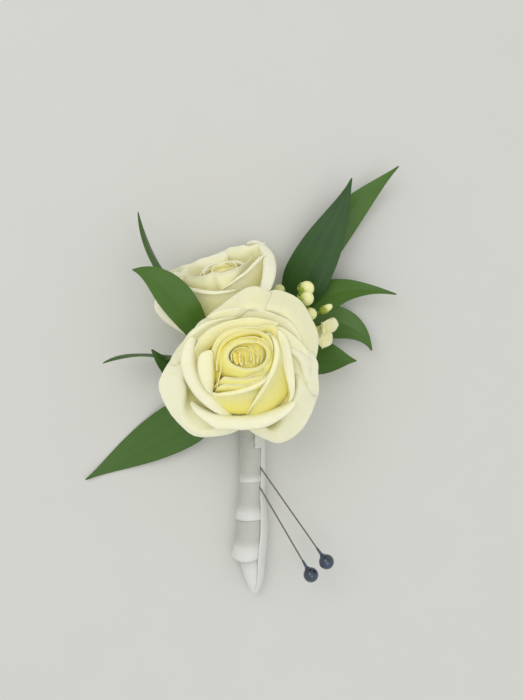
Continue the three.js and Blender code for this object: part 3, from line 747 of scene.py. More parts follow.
def petal_grid(rose, petal, columns, wall_rows, lip_rows):
    """The middle surface of a petal as a grid of design points, and its share of the way up."""
    s = np.sin(np.linspace(-1, 1, columns + 1) * math.pi / 2)
    azimuth, radius, height, lip = along_knots(petal.fold, (s + 1) / 2).T
    middle = along_knots(petal.fold, 0.5)
    reach = np.clip((height - petal.belly[1]) / (middle[2] - petal.belly[1]), 0.25, 1.2)
    shoulder = (radius + petal.shoulder[0] * reach, height + petal.shoulder[1] * reach)
    t = np.linspace(PETAL_START, 1, wall_rows + 1)
    w = spline_weights(4, t)[:, :, None]
    wall_radius = w[0] * PETAL_ROOT[0] + w[1] * petal.belly[0] + w[2] * shoulder[0] + w[3] * radius
    wall_height = w[0] * PETAL_ROOT[1] + w[1] * petal.belly[1] + w[2] * shoulder[1] + w[3] * height
    up = unit(np.stack([radius - shoulder[0], height - shoulder[1]], -1))
    out = np.stack([up[:, 1], -up[:, 0]], -1)
    curl = petal.roll[0]
    angle = math.radians(petal.roll[1]) * (1 - 0.6 * np.abs(s) ** 4)
    tip = petal.point[1] * np.exp(-(((s - petal.point[0]) / POINT_WIDTH) ** 2))
    path = np.linspace(0, 1, lip_rows + 1)[1:, None] * (curl * angle + np.maximum(lip + tip, 0))
    turned = np.minimum(path / curl, angle)
    straight = np.maximum(path - curl * angle, 0)
    ahead = curl * np.sin(turned) + straight * np.cos(turned)
    aside = curl * (1 - np.cos(turned)) + straight * np.sin(turned)
    sag = 0.03 * straight**2
    lip_radius = radius + ahead * up[:, 0] + aside * out[:, 0]
    lip_height = height + ahead * up[:, 1] + aside * out[:, 1] - sag
    all_radius = np.concatenate([wall_radius, lip_radius])
    all_height = np.concatenate([wall_height, lip_height])
    rise = np.concatenate([t * 0.8, 0.8 + 0.2 * path[:, 0] / path[-1, 0]])[:, None]
    phase = 9 * petal.shade
    near_rim = petal.wave * smooth((rise - 0.45) / 0.5)
    all_height = all_height + near_rim * (np.sin(5.1 * s + phase) + 0.6 * np.sin(11.3 * s + phase))
    all_radius = all_radius + 0.6 * near_rim * (np.sin(4.3 * s - phase) + 0.5 * np.sin(9.7 * s))
    local = np.stack(
        [all_radius * np.cos(azimuth), all_radius * np.sin(azimuth), all_height], axis=-1
    )
    return above_floor(rose.to_design(local)), np.broadcast_to(rise, all_radius.shape)


def add_petals(shape, rose, petals, thickness, fineness):
    columns, wall_rows, lip_rows = fineness
    for petal in petals:
        grid, rise = petal_grid(rose, petal, columns, wall_rows, lip_rows)
        shape.add_sheet(grid, thickness, along=rise, warmth=petal.warmth, shade=petal.shade)


def front(points, belly, shoulder, *looks, **more):
    return Petal(folded(FRONT_ROSE, seen_folds(points)), belly, shoulder, *looks, **more)


# The bud of the front rose: the ring round the heart, the wraps round it, and the broad petals
# that stand against it.
FRONT_BUD = [
    front([(2.4, 3.6, 42.8), (-0.9, 3.7, 43), (-4, 2.5, 43), (-5.8, 0, 42.8), (-5, -2.3, 42.6),
           (-2.4, -3.7, 42.4), (0.9, -4.2, 42.3), (4.2, -3.5, 42.2)],
          (9.5, 12), (2, -2.4), (0.15, 80), 1.6, 0.06, 0.1),
    front([(1.5, -4, 41.8), (4.6, -2.8, 42.2), (5.9, -0.6, 42.4), (5.6, 1.9, 42.5), (3.6, 3.5, 42.4),
           (0.4, 4.3, 42.2), (-2.2, 4.2, 41.8)],
          (9.5, 12), (1.8, -2.4), (0.15, 80), 1.6, 0.06, 0.3),
    front([(-2.6, -4.4, 41.2), (1, -5.2, 41.6), (4, -4.6, 41.6), (5.9, -2.6, 41.8),
           (6.5, 0.2, 41.7), (5.8, 3, 41.5), (4, 4.8, 41)],
          (10, 12), (1.8, -2.4), (0.15, 80), 1.6, 0.05, 0.4),
    front([(-8.4, -8.4, 38.6), (-7.7, -7.3, 39.6), (-6.2, -6.7, 40.2), (-2.2, -7, 40.4),
           (2, -6.4, 40.6), (4.6, -4.9, 40.8), (6.2, -2.6, 41), (7, 0, 41.1),
           (6.6, 2.6, 41), (5.4, 4.6, 40.6)],
          (12, 11), (2.2, -2.4), (0.18, 85), 1.4, 0.06, 0.5),
    front([(-8.6, -9.6, 38), (-7.2, -9, 38.8), (-4.1, -8.8, 39.2), (-0.2, -8.9, 39.3),
           (3, -7.8, 39.6), (5.4, -5.9, 40), (6.8, -3.2, 40.3), (7.5, -0.4, 40.4), (7, 2.2, 40.2)],
          (12.8, 10.5), (2.2, -2.6), (0.18, 85), 1.3, 0.06, 0.15),
    front([(6.9, 0.8, 41), (6.1, 3.6, 41.3), (3.4, 5.2, 41.5), (-0.3, 5.3, 41.7), (-4.2, 3.9, 41.7),
           (-6.6, 1.7, 41.6), (-7.5, -1.4, 41.2), (-7.9, -4.4, 40.6), (-8.5, -7.6, 39.4),
           (-9.1, -10.6, 37.8)],
          (10.5, 12), (-0.2, -2.6), (0.18, 80), 1.5, 0.06, 0.7),
    front([(7.8, 1.2, 40.8), (7.2, 4.4, 41.1), (4, 6.9, 41.3), (-0.6, 6.9, 41.4),
           (-5.4, 5.4, 41.4), (-8, 2.7, 41.2), (-8.9, -0.9, 40.6), (-9.1, -4.6, 39.8)],
          (11.5, 11), (-0.6, -3), (0.18, 80), 1.4, 0.1, 0.25),
    # The next two broad petals have the highest shade values: their tone and painted shade, as they lie
    # in shade.
    front([(-11, -11.3, 36.2), (-8.9, -11.7, 37.2, 0.4), (-6.1, -11.3, 37.9, 0.4),
           (-2, -10.5, 38.4, 0.5), (1.3, -9.5, 38.7, 0.4), (3.7, -8.4, 38.8, 0.2), (5.4, -7.2, 38.8),
           (6.4, -6, 38.4)],
          (15, 9.5), (3.4, -4.2), (0.8, 150), 1.1, 0.08, 1),
    front([(-0.4, -18.4, 32.2, 0.1), (1.3, -15.1, 34.6, 0.4), (3.1, -12.1, 36.6, 0.6),
           (4.7, -9.4, 38.2, 0.7), (6.2, -6.6, 39.4, 0.8), (7.5, -3.6, 40.2, 0.8),
           (8.3, -0.8, 40.7, 0.8), (8.2, 2.6, 40.6, 0.9), (7.2, 5.6, 39.8, 0.3)],
          (16.6, 9.8), (3, -4), (0.6, 135), 0.95, 0.08, 0.9),
    front([(9.6, 5.6, 37.6), (8.8, 7.9, 39), (7.4, 8.9, 39.6), (5.2, 8.7, 40.2), (2.4, 8.1, 40.7),
           (-1.6, 8, 41), (-6.4, 6.8, 41), (-9.4, 3.8, 40.6), (-10.6, 0, 39.8), (-10.4, -3, 38.6)],
          (12.5, 10), (-2, -2.6), (0.2, 90), 1.2, 0.12, 0.8),
    front([(-9.8, 1.2, 39, 0.2), (-10.2, -0.4, 39.6, 3), (-10.2, -3.2, 39.6, 3.6),
           (-10.1, -6.4, 38.8, 2.9), (-10.2, -9.2, 37.4, 1.6), (-10.4, -11.7, 36, 0.1)],
          (13.2, 9), (-0.6, -4.5), (1.1, 88), 0.9, 0.08, 0.6),
    front([(9.5, 9.5, 38), (4.5, 10.6, 38.8), (-2.4, 10.4, 39.2), (-8.6, 8.8, 38.8), (-13.2, 5.8, 38),
           (-15.2, 2.4, 37), (-16, -1.5, 35.8)],
          (14, 9), (-4.9, -2.8), (0.25, 90), 0.9, 0.15, 0.3),
]

# The half open petals round the bud.
FRONT_CUP = [
    front([(-15, 4.5, 35.2, 1), (-15.4, 0.5, 36.2, 2.2), (-15.2, -3.5, 36.4, 2.6),
           (-13.4, -7.8, 36, 2.4), (-10.6, -11.4, 35.2, 2), (-7.5, -14.8, 33.8, 1.2),
           (-4.6, -17.8, 32, 0.4)],
          (14.8, 7.5), (-1.5, -4.5), (1.9, 92), 0.5, 0.2, 0.1),
    front([(-16.2, -13.8, 33.4, 0.4), (-11.8, -16.8, 34.8, 1), (-6.1, -18.5, 35.3, 1.4),
           (-0.3, -18.7, 35.4, 1.6), (4, -18.1, 35.2, 1.6), (8.5, -16.6, 34.8, 1),
           (13.8, -13.8, 33.8, 0.2)],
          (16, 7), (-1.2, -4.5), (1.9, 100), 0.2, 0.1, 0.9, (-0.42, 0.9)),
    front([(9.8, -16.4, 32.2), (12, -14.8, 32.6), (12.9, -12, 33.6, 0.6), (12.3, -8.6, 35, 1.8),
           (11.4, -5, 36.1, 2.5), (10.6, -1.5, 37, 2.7), (10.1, 1.8, 37.6, 2.5),
           (9.6, 4.6, 38, 1.8), (8.8, 7, 38.2, 0.6)],
          (14.5, 9), (0.4, -4.6), (0.5, 98), 0.6, 0.08, 0.35),
    front([(14, -16.6, 30), (16.6, -12.8, 31.6, 0.1), (18.2, -8, 32.8, 0.2), (18.8, -3.5, 33.6, 0.3),
           (18.2, -0.2, 34.4, 0.3), (16.8, 2.6, 35.2, 0.2), (14.4, 5.2, 36.2), (11, 7.6, 37),
           (7.6, 8.8, 37.4)],
          (15.8, 6), (-8, -1.4), (0.35, 90), 0.5, 0.1, 0.5),
    front([(16.6, 1.4, 34.6), (15, 6.4, 35.4), (12, 10, 36), (7.4, 12.2, 36.3),
           (1.5, 13.4, 36.4), (-3.6, 13.6, 36.4), (-8.4, 12.6, 36), (-11.4, 11, 35.2)],
          (16, 6.5), (-5, -4.2), (0.4, 90), 0.6, 0.2, 0.2),
    front([(-4, 10.6, 36.2), (-8.5, 9.9, 36.4), (-12.4, 8.6, 36.2, 0.6), (-15.6, 6, 35.6, 1),
           (-17.8, 2.6, 35, 1.2), (-19.2, -1.5, 34, 1)],
          (15.6, 6.5), (-3.6, -4.2), (0.8, 92), 0.5, 0.15, 0.7),
]

# The open guard petals. Their ends dip under their neighbours.
FRONT_GUARDS = [
    front([(-20.8, 1, 27.6), (-23, -2.2, 29.2), (-24.6, -5.4, 29.8, 0.2), (-26, -9.2, 29.2, 0.4),
           (-23.8, -15.2, 28.4, 0.4), (-20, -20.2, 27.8, 0.4), (-15.6, -23.8, 27.4, 0.4),
           (-9, -23.6, 28, 0.3), (-2.5, -22, 29.4)],
          (17.5, 3.5), (-6, 3.8), (1.2, 60), 0.2, 0.3, 0.3, (-0.28, 0.6)),
    front([(0.5, -22, 28.4), (5.4, -24.8, 27.6, 0.2), (9.1, -25.9, 27.2, 0.3), (12.4, -24.9, 27.4, 0.3),
           (16, -21.7, 28, 0.3), (19, -17, 28.8, 0.3), (20.8, -12, 29.4, 0.2), (20.4, -8, 28.4)],
          (17.5, 3.2), (-6, 3.8), (1.2, 60), 0.2, 0.25, 0.6),
    front([(19.4, -15.8, 27.6), (20.9, -11.5, 30, 0.2), (21, -6, 31.4, 0.3), (20.6, -2, 32, 0.3),
           (18.8, 0.8, 32.4, 0.3), (16.2, 3, 32.4)],
          (17, 4.5), (-5.6, 2.6), (1.1, 70), 0.25, 0.2, 0.1),
    front([(19.4, -3, 28.4), (20.8, 3.1, 29.2, 0.3), (20.5, 7.4, 29.6, 0.3), (18.6, 11.8, 29.8, 0.3),
           (15.6, 15.9, 30, 0.3), (12, 18.2, 30.2, 0.3), (8, 19, 30.4, 0.2), (4.6, 17.6, 29.6)],
          (17, 3.5), (-8, 3.1), (1.2, 60), 0.35, 0.25, 0.8),
    front([(9.2, 16.6, 30.8), (5.4, 19.2, 31.8, 0.2), (1, 19.8, 32, 0.3), (-3.6, 17.3, 32, 0.3),
           (-7.4, 14.5, 32, 0.3), (-10.8, 11.9, 32, 0.2), (-13, 8.6, 31.2)],
          (16, 5.5), (-7.3, 2.4), (1.2, 60), 0.5, 0.2, 0.4),
    front([(-10, 12, 31.4), (-13.6, 9.9, 32, 0.2), (-15.6, 7.5, 32, 0.3), (-18.4, 4.5, 31.6, 0.3),
           (-21, 1.5, 31.2, 0.3), (-22.6, -1.8, 30.4, 0.2), (-22.8, -6, 28.2)],
          (16, 5), (-4.6, 3.6), (1.2, 60), 0.25, 0.2, 0.95),
]

# Petals that stand on edge inside a bud: x and y as seen, from one side to the other.
FRONT_HEART_SHEETS = [
    (0.75, [(-4.6, -1.9), (-4.7, 0.2), (-3.6, 1.8), (-1.4, 2.3), (0.4, 1.7), (1.1, 0.2), (1.1, -1.7)]),
    (0.1, [(-2.2, 1.1), (-2.4, -0.6), (-2.2, -2.2), (-1.5, -3.5)]),
    (0.1, [(-0.9, 1.3), (-0.5, 0), (-0.4, -1.6), (-0.1, -3.2)]),
    (0.5, [(0.5, 3.2), (1.4, 1.7), (1.9, 0), (2.2, -1.4), (2.2, -3)]),
    (0.65, [(2.2, 3), (3.1, 1.4), (3.4, -0.4), (3.2, -2.4)]),
    (0.8, [(3.7, 2.3), (4.5, 0.9), (4.6, -0.7), (4.1, -2.3)]),
]
# The sheet in the hollow is painted amber: partly the heart's own deeper yellow and partly painted shade.
FRONT_HOLLOW = [(0.3, [(-4.2, 0.9), (-4.2, -0.4), (-3.9, -1.8), (-3.1, -3)])]  # its deep yellow


def back(points, belly, shoulder, *looks, **more):
    return Petal(folded(BACK_ROSE, seen_folds_on(BACK_ROSE, points)), belly, shoulder, *looks, **more)


HIDDEN_WAVE = 0.2  # how far the rims of the hidden petals wave
SHADE_STEP = 0.37  # keeps neighbours from getting the same shade


def hidden(folds, belly, shoulder, roll, warmth):
    """Even petals where the picture doesn't look, from what drawn_fold takes for each."""
    return [
        Petal(drawn_fold(*fold), belly, shoulder, roll, warmth, HIDDEN_WAVE, (i * SHADE_STEP) % 1)
        for i, fold in enumerate(folds)
    ]


BACK_NEAR = [
    # the near side of the bud, with an uneven rim
    back([(-20, 23.6, 20.4), (-18.4, 23.7, 21.4), (-15, 23.3, 22.6), (-12, 23.8, 23.3),
          (-10.2, 24.5, 23.6), (-8.6, 24.1, 23.6), (-6.6, 24.5, 23.4), (-3.4, 25.6, 22.9),
          (-1.2, 27.1, 22.2), (0.9, 29.4, 21.2)],
         (11, 8.5), (0.5, -4.5), (0.4, 110), 0.6, 0.12, 0.2),
    # the petal whose rim crosses the bud
    back([(-9, 17.6, 17), (-6.2, 20, 18.6, 0.2), (-3.4, 22.2, 20, 0.3), (-1.6, 23.7, 20.7, 0.4),
          (0.9, 26.1, 21.4, 0.4), (3, 28.1, 21.7, 0.4), (4.8, 29.1, 21.8, 0.2), (5.4, 29.4, 21.6)],
         (12.4, 7.5), (1.2, -4.5), (0.7, 150), 0.6, 0.08, 0.5),
    # the near outer petal with its long white lip
    back([(-23.5, 24.6, 19.8), (-21.4, 22.9, 19.8, 0.3), (-18.8, 21, 19.6, 0.6),
          (-16.2, 19.7, 19.4, 0.9), (-13.5, 19.1, 19.2, 1.1), (-9.8, 18.8, 19, 1.1),
          (-6.5, 18.9, 18.9, 0.8), (-4, 19.1, 18.8, 0.5), (-1.8, 19.6, 18.6)],
         (14.6, 6.5), (0.7, -4.5), (0.6, 125), 0.7, 0.1, 0.9),
]
BACK_FAR = [
    # far petals, whose inner faces show
    back([(5.4, 33.2, 22.4), (3.5, 33.2, 23), (0.9, 32.8, 23.4), (-1.7, 32.3, 23.4), (-5, 32, 23),
          (-7.4, 30.8, 22)],
         (12, 7), (-2.8, -3), (0.35, 90), 0.5, 0.3, 0.7, (0.8, 0.8)),
    back([(-5.6, 31.2, 22.4), (-7.7, 30.5, 22.6), (-12, 29, 22.2), (-15, 27.9, 22), (-18.2, 27.2, 21.6),
          (-20.4, 26.2, 20.8), (-23, 24.6, 19.4)],
         (12, 6.5), (-3.4, -2.8), (0.4, 90), 0.5, 0.3, 0.3),
    # the turned back petal on the right
    back([(0, 33.2, 22.2), (2.6, 33.3, 22.4, 0.4), (4, 31.5, 22.2, 1.9), (4.8, 28.5, 21.4, 3),
          (4.8, 25.5, 20.2, 3.7), (4.4, 22.5, 19, 4), (3.9, 19.5, 17.6, 4), (3.2, 17, 16.4, 3)],
         (13.4, 6), (-0.6, -5), (0.9, 98), 0.4, 0.1, 0.4),
]
BACK_HEART = [
    # small petals wrapped round the heart, which show from the leaf tips
    *hidden([(100, 100, 7.4, 20.5, 0.4, 0.3), (215, 95, 6.8, 20.8, 0.3, 0.3),
             (330, 100, 6.2, 20.5, 0.4, 0.3)],
            (9, 12), (1.4, -3), (0.3, 85), 0.5),
    *hidden([(40, 100, 4.6, 21.1, 0.3, 0.2), (160, 100, 3.8, 21.3, 0.3, 0.2),
             (280, 100, 3, 21.1, 0.3, 0.2)],
            (7.2, 14), (1.4, -2.6), (0.3, 85), 0.7),
]
BACK_GUARDS = [
    # the guard behind the leaf on the left
    Petal(folded(BACK_ROSE, seen_folds(
        [(-21, 24.8, 15), (-23.4, 23.2, 14.4, 0.6), (-25.6, 19.6, 13, 1.2), (-26.4, 16.4, 12, 1.2),
         (-24.6, 12.6, 11, 1), (-21.2, 9, 11, 0.4), (-18, 6.4, 12)])),
        (14, 4.5), (-4, -2), (1.1, 80), 0.3, 0.2, 0.6),
    *hidden([(76, 46, 15.4, 20.6, 3.0, 1.0), (146, 44, 15.4, 19.6, 3.0, 1.0),
             (30, 38, 14.4, 18.6, 3.0, 0.6)],
            (13.0, 6), (-1.2, -4.5), (0.9, 80), 0.3),
]

ROSE_FINENESS = (30, 14, 8)  # columns, wall rows and lip rows of a petal
HEART_THICKNESS = 1.4  # how much thicker the small petals on edge are drawn than the others
BACK_CREAM_PAINTED_LIGHTER = "#fcfbe9"  # a paler cream for the half open back rose: painted light, for the front rose keeps light off it

# Rings of radius and height, from the foot of each core to its top
FRONT_CORE = [(0.4, 0), (3, 0), (10, 1.8), (13.4, 5), (14.2, 9), (13.6, 11.6), (9.5, 16.5), (0.4, 18)]
FRONT_CAP = [(0.4, -8), (9, -8), (12, -6.5), (11.4, -4.4), (10, -2.6), (8.4, -1.2), (7, 0.2),
             (6, 1.6), (5, 2.7), (3.6, 2.6), (1.6, 2.4), (0.4, 2.4)]
FRONT_CAP_SEAT = Rose(base=(-4.5, -1.4, 38), axis=(0, 0, 1), right=(1, 0, 0))
BACK_CORE = [(0.4, 0), (2.6, 0), (8, 2.6), (9.6, 6), (9, 11), (8.2, 15), (7.4, 18),
             (6.4, 19.3), (4, 20.1), (0.4, 20.3)]
CORE_SIDES = 32


def add_core(shape, rose, rings, warmth):
    """The packed heart under the petals, which keeps light from passing through the bloom."""
    shape.add_turned(
        rings, CORE_SIDES, lambda points: above_floor(rose.to_design(points)), along=0.45,
        warmth=warmth, shade=0.5,
    )


def add_heart_sheets(shape, thickness, rose, lines, stand, depth, warmth):
    """The small petals on edge in a bud, whose rims stand so high on their rose.

    Each has the share of the way from the axis to its rim at which its foot stands.
    """
    axis = unit(rose.axis)
    middle = np.asarray(rose.base) + axis * stand
    for number, (inset, line) in enumerate(lines):
        top = np.array(seen_folds_on(rose, [(x, y, stand) for x, y in line]))[:, :3]
        across = np.linspace(0, 1, 25)
        rim = along_knots(top, across)
        rim = rim + axis * 0.25 * np.sin(14 * across + 2 * number)[:, None]
        levels = np.linspace(0, 1, 9)[:, None, None]
        foot = middle + (rim - middle) * inset - axis * depth
        lean = 0.35 * np.sin(levels * math.pi) * unit(rim - middle)
        grid = foot + (rim - foot) * levels + lean
        rise = 0.35 + 0.5 * levels[:, :, 0]
        shape.add_sheet(
            grid, thickness, along=np.broadcast_to(rise, grid.shape[:2]), warmth=warmth,
            shade=number / 5,
        )


class BOUTONNIERE_OT_front_rose(bpy.types.Operator):
    """Build the open front rose, petal by petal"""

    bl_idname = "boutonniere.front_rose"
    bl_label = "Front rose"

    def execute(self, context):
        settings = context.scene.boutonniere_petals
        shape = Shape("inner", "along", "warmth", "shade")
        petals = FRONT_BUD + FRONT_CUP + FRONT_GUARDS
        add_petals(shape, FRONT_ROSE, petals, settings.thickness, ROSE_FINENESS)
        thick = HEART_THICKNESS * settings.thickness
        add_heart_sheets(
            shape, thick, FRONT_ROSE, FRONT_HEART_SHEETS, stand=24.3, depth=2.0, warmth=1.35
        )
        add_heart_sheets(shape, thick, FRONT_ROSE, FRONT_HOLLOW, stand=23.9, depth=0.8, warmth=2.4)
        add_core(shape, FRONT_ROSE, FRONT_CORE, warmth=1.0)
        add_core(shape, FRONT_CAP_SEAT, FRONT_CAP, warmth=1.7)
        piece = shape.build("rose_front_petals", petal_material(settings))
        dress(piece, "rose_petals", "rose_front_bloom")
        return {"FINISHED"}


class BOUTONNIERE_OT_back_rose(bpy.types.Operator):
    """Build the smaller rose that looks towards the leaf tips"""

    bl_idname = "boutonniere.back_rose"
    bl_label = "Back rose"

    def execute(self, context):
        settings = context.scene.boutonniere_petals
        shape = Shape("inner", "along", "warmth", "shade")
        petals = BACK_NEAR + BACK_FAR + BACK_HEART + BACK_GUARDS
        add_petals(shape, BACK_ROSE, petals, settings.thickness, ROSE_FINENESS)
        add_core(shape, BACK_ROSE, BACK_CORE, warmth=0.8)
        # Its paler cream is painted light, as the back rose lies in the front rose's shade.
        material = petal_material(settings, "Rose petal, half open, painted lighter", linear_colour(BACK_CREAM_PAINTED_LIGHTER))
        piece = shape.build("rose_back_petals", material)
        dress(piece, "rose_petals", "rose_back_bloom")
        return {"FINISHED"}


# Leaves

# How a blade narrows to its tip, see blade_share
DRAWN_OUT_TIP = (2.0, 1.4)
ROUND_TIP = (3.0, 1.0)


@dataclass
class Leaf:
    """A ruscus leaf along a cubic curve. tilt turns its blade about that line, in degrees."""

    base: tuple
    rise: tuple
    bend: tuple
    tip: tuple
    tilt: float
    width: float
    fold: float
    shade: float = 0.3
    widest: float = 0.4
    narrowing: tuple = DRAWN_OUT_TIP


# A leaf's shade value is partly its own tone and partly painted light; see leaf_material.
LEAVES = {
    "upper_front": Leaf((9.5, 12, 3.2), (14.6, 27, 11), (25.2, 41.6, 14), (29.8, 56.8, 14),
                        -10, 15.3, 0.16, 0.0, 0.28),
    "upper_back": Leaf((10.0, 11, 2.8), (14.5, 33, 0.5), (31, 49, 3.5), (46.1, 61.7, 9),
                       0, 12.5, 0.08, 0.6, 0.4),
    "right_upper": Leaf((14.5, 8.8, 3.2), (19, 21.6, 3.6), (32, 22.2, 8), (44.8, 18.5, 12),
                        8, 10.6, 0.15, 0.6, 0.3, (1.5, 1.5)),
    "right_middle": Leaf((12.8, 6.5, 3), (22, 12.6, 3), (33.6, 9.6, 5.5), (37.2, -0.2, 7.5),
                         0, 11.0, 0.12, 0.55, 0.35),
    "right_lower": Leaf((10.5, -3.5, 2.6), (15, -1, 7), (23, -3, 10.5), (31.6, -3.6, 11.5),
                        12, 12.0, 0.12, 0.45, 0.45),
    "left_lower": Leaf((-12.5, -18, 4.2), (-25, -23.5, 7), (-44, -34.5, -2.2), (-60.6, -44.7, 1.4),
                       6, 16.0, 0.06, 0.45, 0.35),
    "left_upper": Leaf((-18.3, 0.2, 17.5), (-20.8, 8.5, 25), (-30.6, 24.8, 34.5), (-41.2, 25.6, 24),
                       -14, 10.8, 0.14, 0.6, 0.5),
    "left_edge_on": Leaf((-16, 11, 9), (-28.5, 16.5, 8), (-38.4, 30, 14), (-40.6, 45.4, 15),
                         74, 8.6, 0.1, 0.4, 0.35),
    "left_thin": Leaf((-21.5, -5, 6.5), (-32, -1.5, 9), (-43, 0.5, 12.5), (-52.7, -4.4, 12),
                      80, 6.0, 0.08, 0.3),
    "left_short": Leaf((-25, -12, 5), (-29, -9, 10), (-33.5, -3, 14), (-36.2, 0.2, 14.5),
                       28, 5.0, 0.2, 0.2),
}

LEAF_COLUMNS = 20
LEAF_ROWS = 44
LEAF_RIPPLE = 0.25  # how far its edges wave, in mm
LEAF_EDGE = (0.12, 0.03)  # the shares of its width and length over which its edges thin out
LEAF_FLOOR = 0.25  # the lowest that a blade or sepal lies, in mm
HANDLE_LEVELS = (-23, -25.5, -30)  # where a stem enters the handle and runs straight
HANDLE_END = -70.0  # where the stems are cut
CUT_SHORT = -31.5  # where a stem that would meet a pin is cut
SPRIG_STEM_RADII = (0.34, 0.4)  # at its upper end and at its cut end, in mm


def turned_about(vector, axis, angle):
    """A vector turned about an axis."""
    axis = unit(axis)
    cosine, sine = math.cos(angle), math.sin(angle)
    return vector * cosine + np.cross(axis, vector) * sine + axis * np.dot(axis, vector) * (1 - cosine)


def blade_share(t, widest, tip):
    """The share of a blade's full width at t. tip shapes how it narrows to its end."""
    to_tip = (1 - np.clip((t - widest) / (1 - widest), 0, 1) ** tip[0]) ** tip[1]
    to_base = 1 - np.clip((widest - t) / widest, 0, 1) ** 2
    return np.where(t > widest, to_tip, to_base)


def blade_grid(curve, side, width, fold, columns, rows, widest=0.4, tip=DRAWN_OUT_TIP, ripple=0.0):
    """The middle surface of a blade whose halves are lifted from its midrib by fold."""
    t = np.linspace(0, 1, rows + 1)
    s = np.sin(np.linspace(-1, 1, columns + 1) * math.pi / 2)
    spine, ahead = bezier(curve, t)
    across = unit(side - (ahead @ side)[:, None] * ahead)
    up = np.cross(across, ahead)
    half = blade_share(t, widest, tip) * width / 2 + 0.16 + 0.14 * (1 - t)
    lift = fold * (np.sqrt(s**2 + 0.012) - math.sqrt(0.012))
    wave = ripple * np.sin(9 * t)[:, None] * np.sign(s)[None, :] * s[None, :] ** 2
    return (
        spine[:, None]
        + across[:, None] * (half[:, None] * s[None, :])[..., None]
        + up[:, None] * (half[:, None] * lift[None, :] + wave)[..., None]
    )


def leaf_grid(leaf):
    along = unit(np.asarray(leaf.tip, float) - np.asarray(leaf.base, float))
    flat_side = unit(np.cross((0, 0, 1), along))
    side = turned_about(flat_side, along, math.radians(leaf.tilt))
    curve = (leaf.base, leaf.rise, leaf.bend, leaf.tip)
    return blade_grid(
        curve, side, leaf.width, leaf.fold, LEAF_COLUMNS, LEAF_ROWS, leaf.widest, leaf.narrowing,
        LEAF_RIPPLE,
    )


def in_handle(aside, up, cut_at=HANDLE_END):
    """The straight stretch of a stem inside the wrapped handle, down to its cut end."""
    return [(HANDLE_AXIS[0] + aside, y, HANDLE_AXIS[1] + up) for y in (*HANDLE_LEVELS, cut_at)]


SPRIGS = {
    "ruscus_sprig_top_right": {
        "leaves": ("upper_front", "upper_back"),
        "stem": [(8.4, 8.6, 3.2), (7.6, 7, 2.8), (4, -7, 1.4), (-0.6, -19, 1.6),
                 *in_handle(0, -1.95)],
    },
    "ruscus_sprig_right": {
        "leaves": ("right_upper", "right_middle", "right_lower"),
        "stem": [(12.2, 2.4, 3.2), (11.8, 0.6, 3), (10.5, -2.5, 2.6), (7.5, -9, 2.6),
                 (2.8, -18, 3.4), *in_handle(1.45, -1.6)],
    },
    "ruscus_sprig_top_left": {
        "leaves": ("left_upper", "left_edge_on"),
        "stem": [(-19, 1, 17.5), (-21, -0.5, 10), (-19.5, -4, 7), (-11.5, -16.5, 8.4),
                 *in_handle(-0.9, 1.85, CUT_SHORT)],
    },
    "ruscus_sprig_left": {
        "leaves": ("left_lower", "left_thin", "left_short"),
        "stem": [(-21.5, -5, 6.5), (-19.5, -9.5, 5), (-13.5, -17, 4.2), *in_handle(-1.45, -1.6)],
    },
}


# Geometry Nodes


def group_socket(tree, name, kind, default=None, into=True):
    socket = tree.interface.new_socket(
        name=name, in_out="INPUT" if into else "OUTPUT", socket_type=kind
    )
    if default is not None:
        socket.default_value = default
    return socket


def swept_tree():
    """A round stem along a line: it thins from its start to its end and is closed at both."""
    tree = bpy.data.node_groups.new("Swept round stem", "GeometryNodeTree")
    group_socket(tree, "Geometry", "NodeSocketGeometry")
    group_socket(tree, "Start radius", "NodeSocketFloat", 0.001)
    group_socket(tree, "End radius", "NodeSocketFloat", 0.001)
    group_socket(tree, "Sides", "NodeSocketInt", 16)
    group_socket(tree, "Spacing", "NodeSocketFloat", 0.0008)
    group_socket(tree, "Material", "NodeSocketMaterial")
    group_socket(tree, "Geometry", "NodeSocketGeometry", into=False)
    given = add_node(tree, "NodeGroupInput").outputs
    line = add_node(tree, "GeometryNodeMeshToCurve", {"Mesh": given["Geometry"]}).outputs[0]
    spline = add_node(tree, "GeometryNodeCurveSplineType", {"Curve": line}, spline_type="CATMULL_ROM")
    even = add_node(
        tree,
        "GeometryNodeResampleCurve",
        {"Curve": spline.outputs[0], "Length": given["Spacing"]},
        mode="LENGTH",
    ).outputs[0]
    share = add_node(tree, "GeometryNodeSplineParameter").outputs["Factor"]
    radius = add_node(
        tree, "ShaderNodeMix", {0: share, 2: given["Start radius"], 3: given["End radius"]}
    ).outputs[0]
    sized = add_node(tree, "GeometryNodeSetCurveRadius", {"Curve": even, "Radius": radius}).outputs[0]
    ring = add_node(
        tree, "GeometryNodeCurvePrimitiveCircle", {"Resolution": given["Sides"], "Radius": 1.0}
    ).outputs[0]
    tube = add_node(
        tree,
        "GeometryNodeCurveToMesh",
        {"Curve": sized, "Profile Curve": ring, "Scale": radius, "Fill Caps": True},
    ).outputs[0]
    solid = add_node(tree, "GeometryNodeRealizeInstances", {"Geometry": tube}).outputs[0]
    rounded = add_node(tree, "GeometryNodeSetShadeSmooth", {"Geometry": solid}).outputs[0]
    painted = add_node(
        tree, "GeometryNodeSetMaterial", {"Geometry": rounded, "Material": given["Material"]}
    ).outputs[0]
    add_node(tree, "NodeGroupOutput", {0: painted})
    return tree


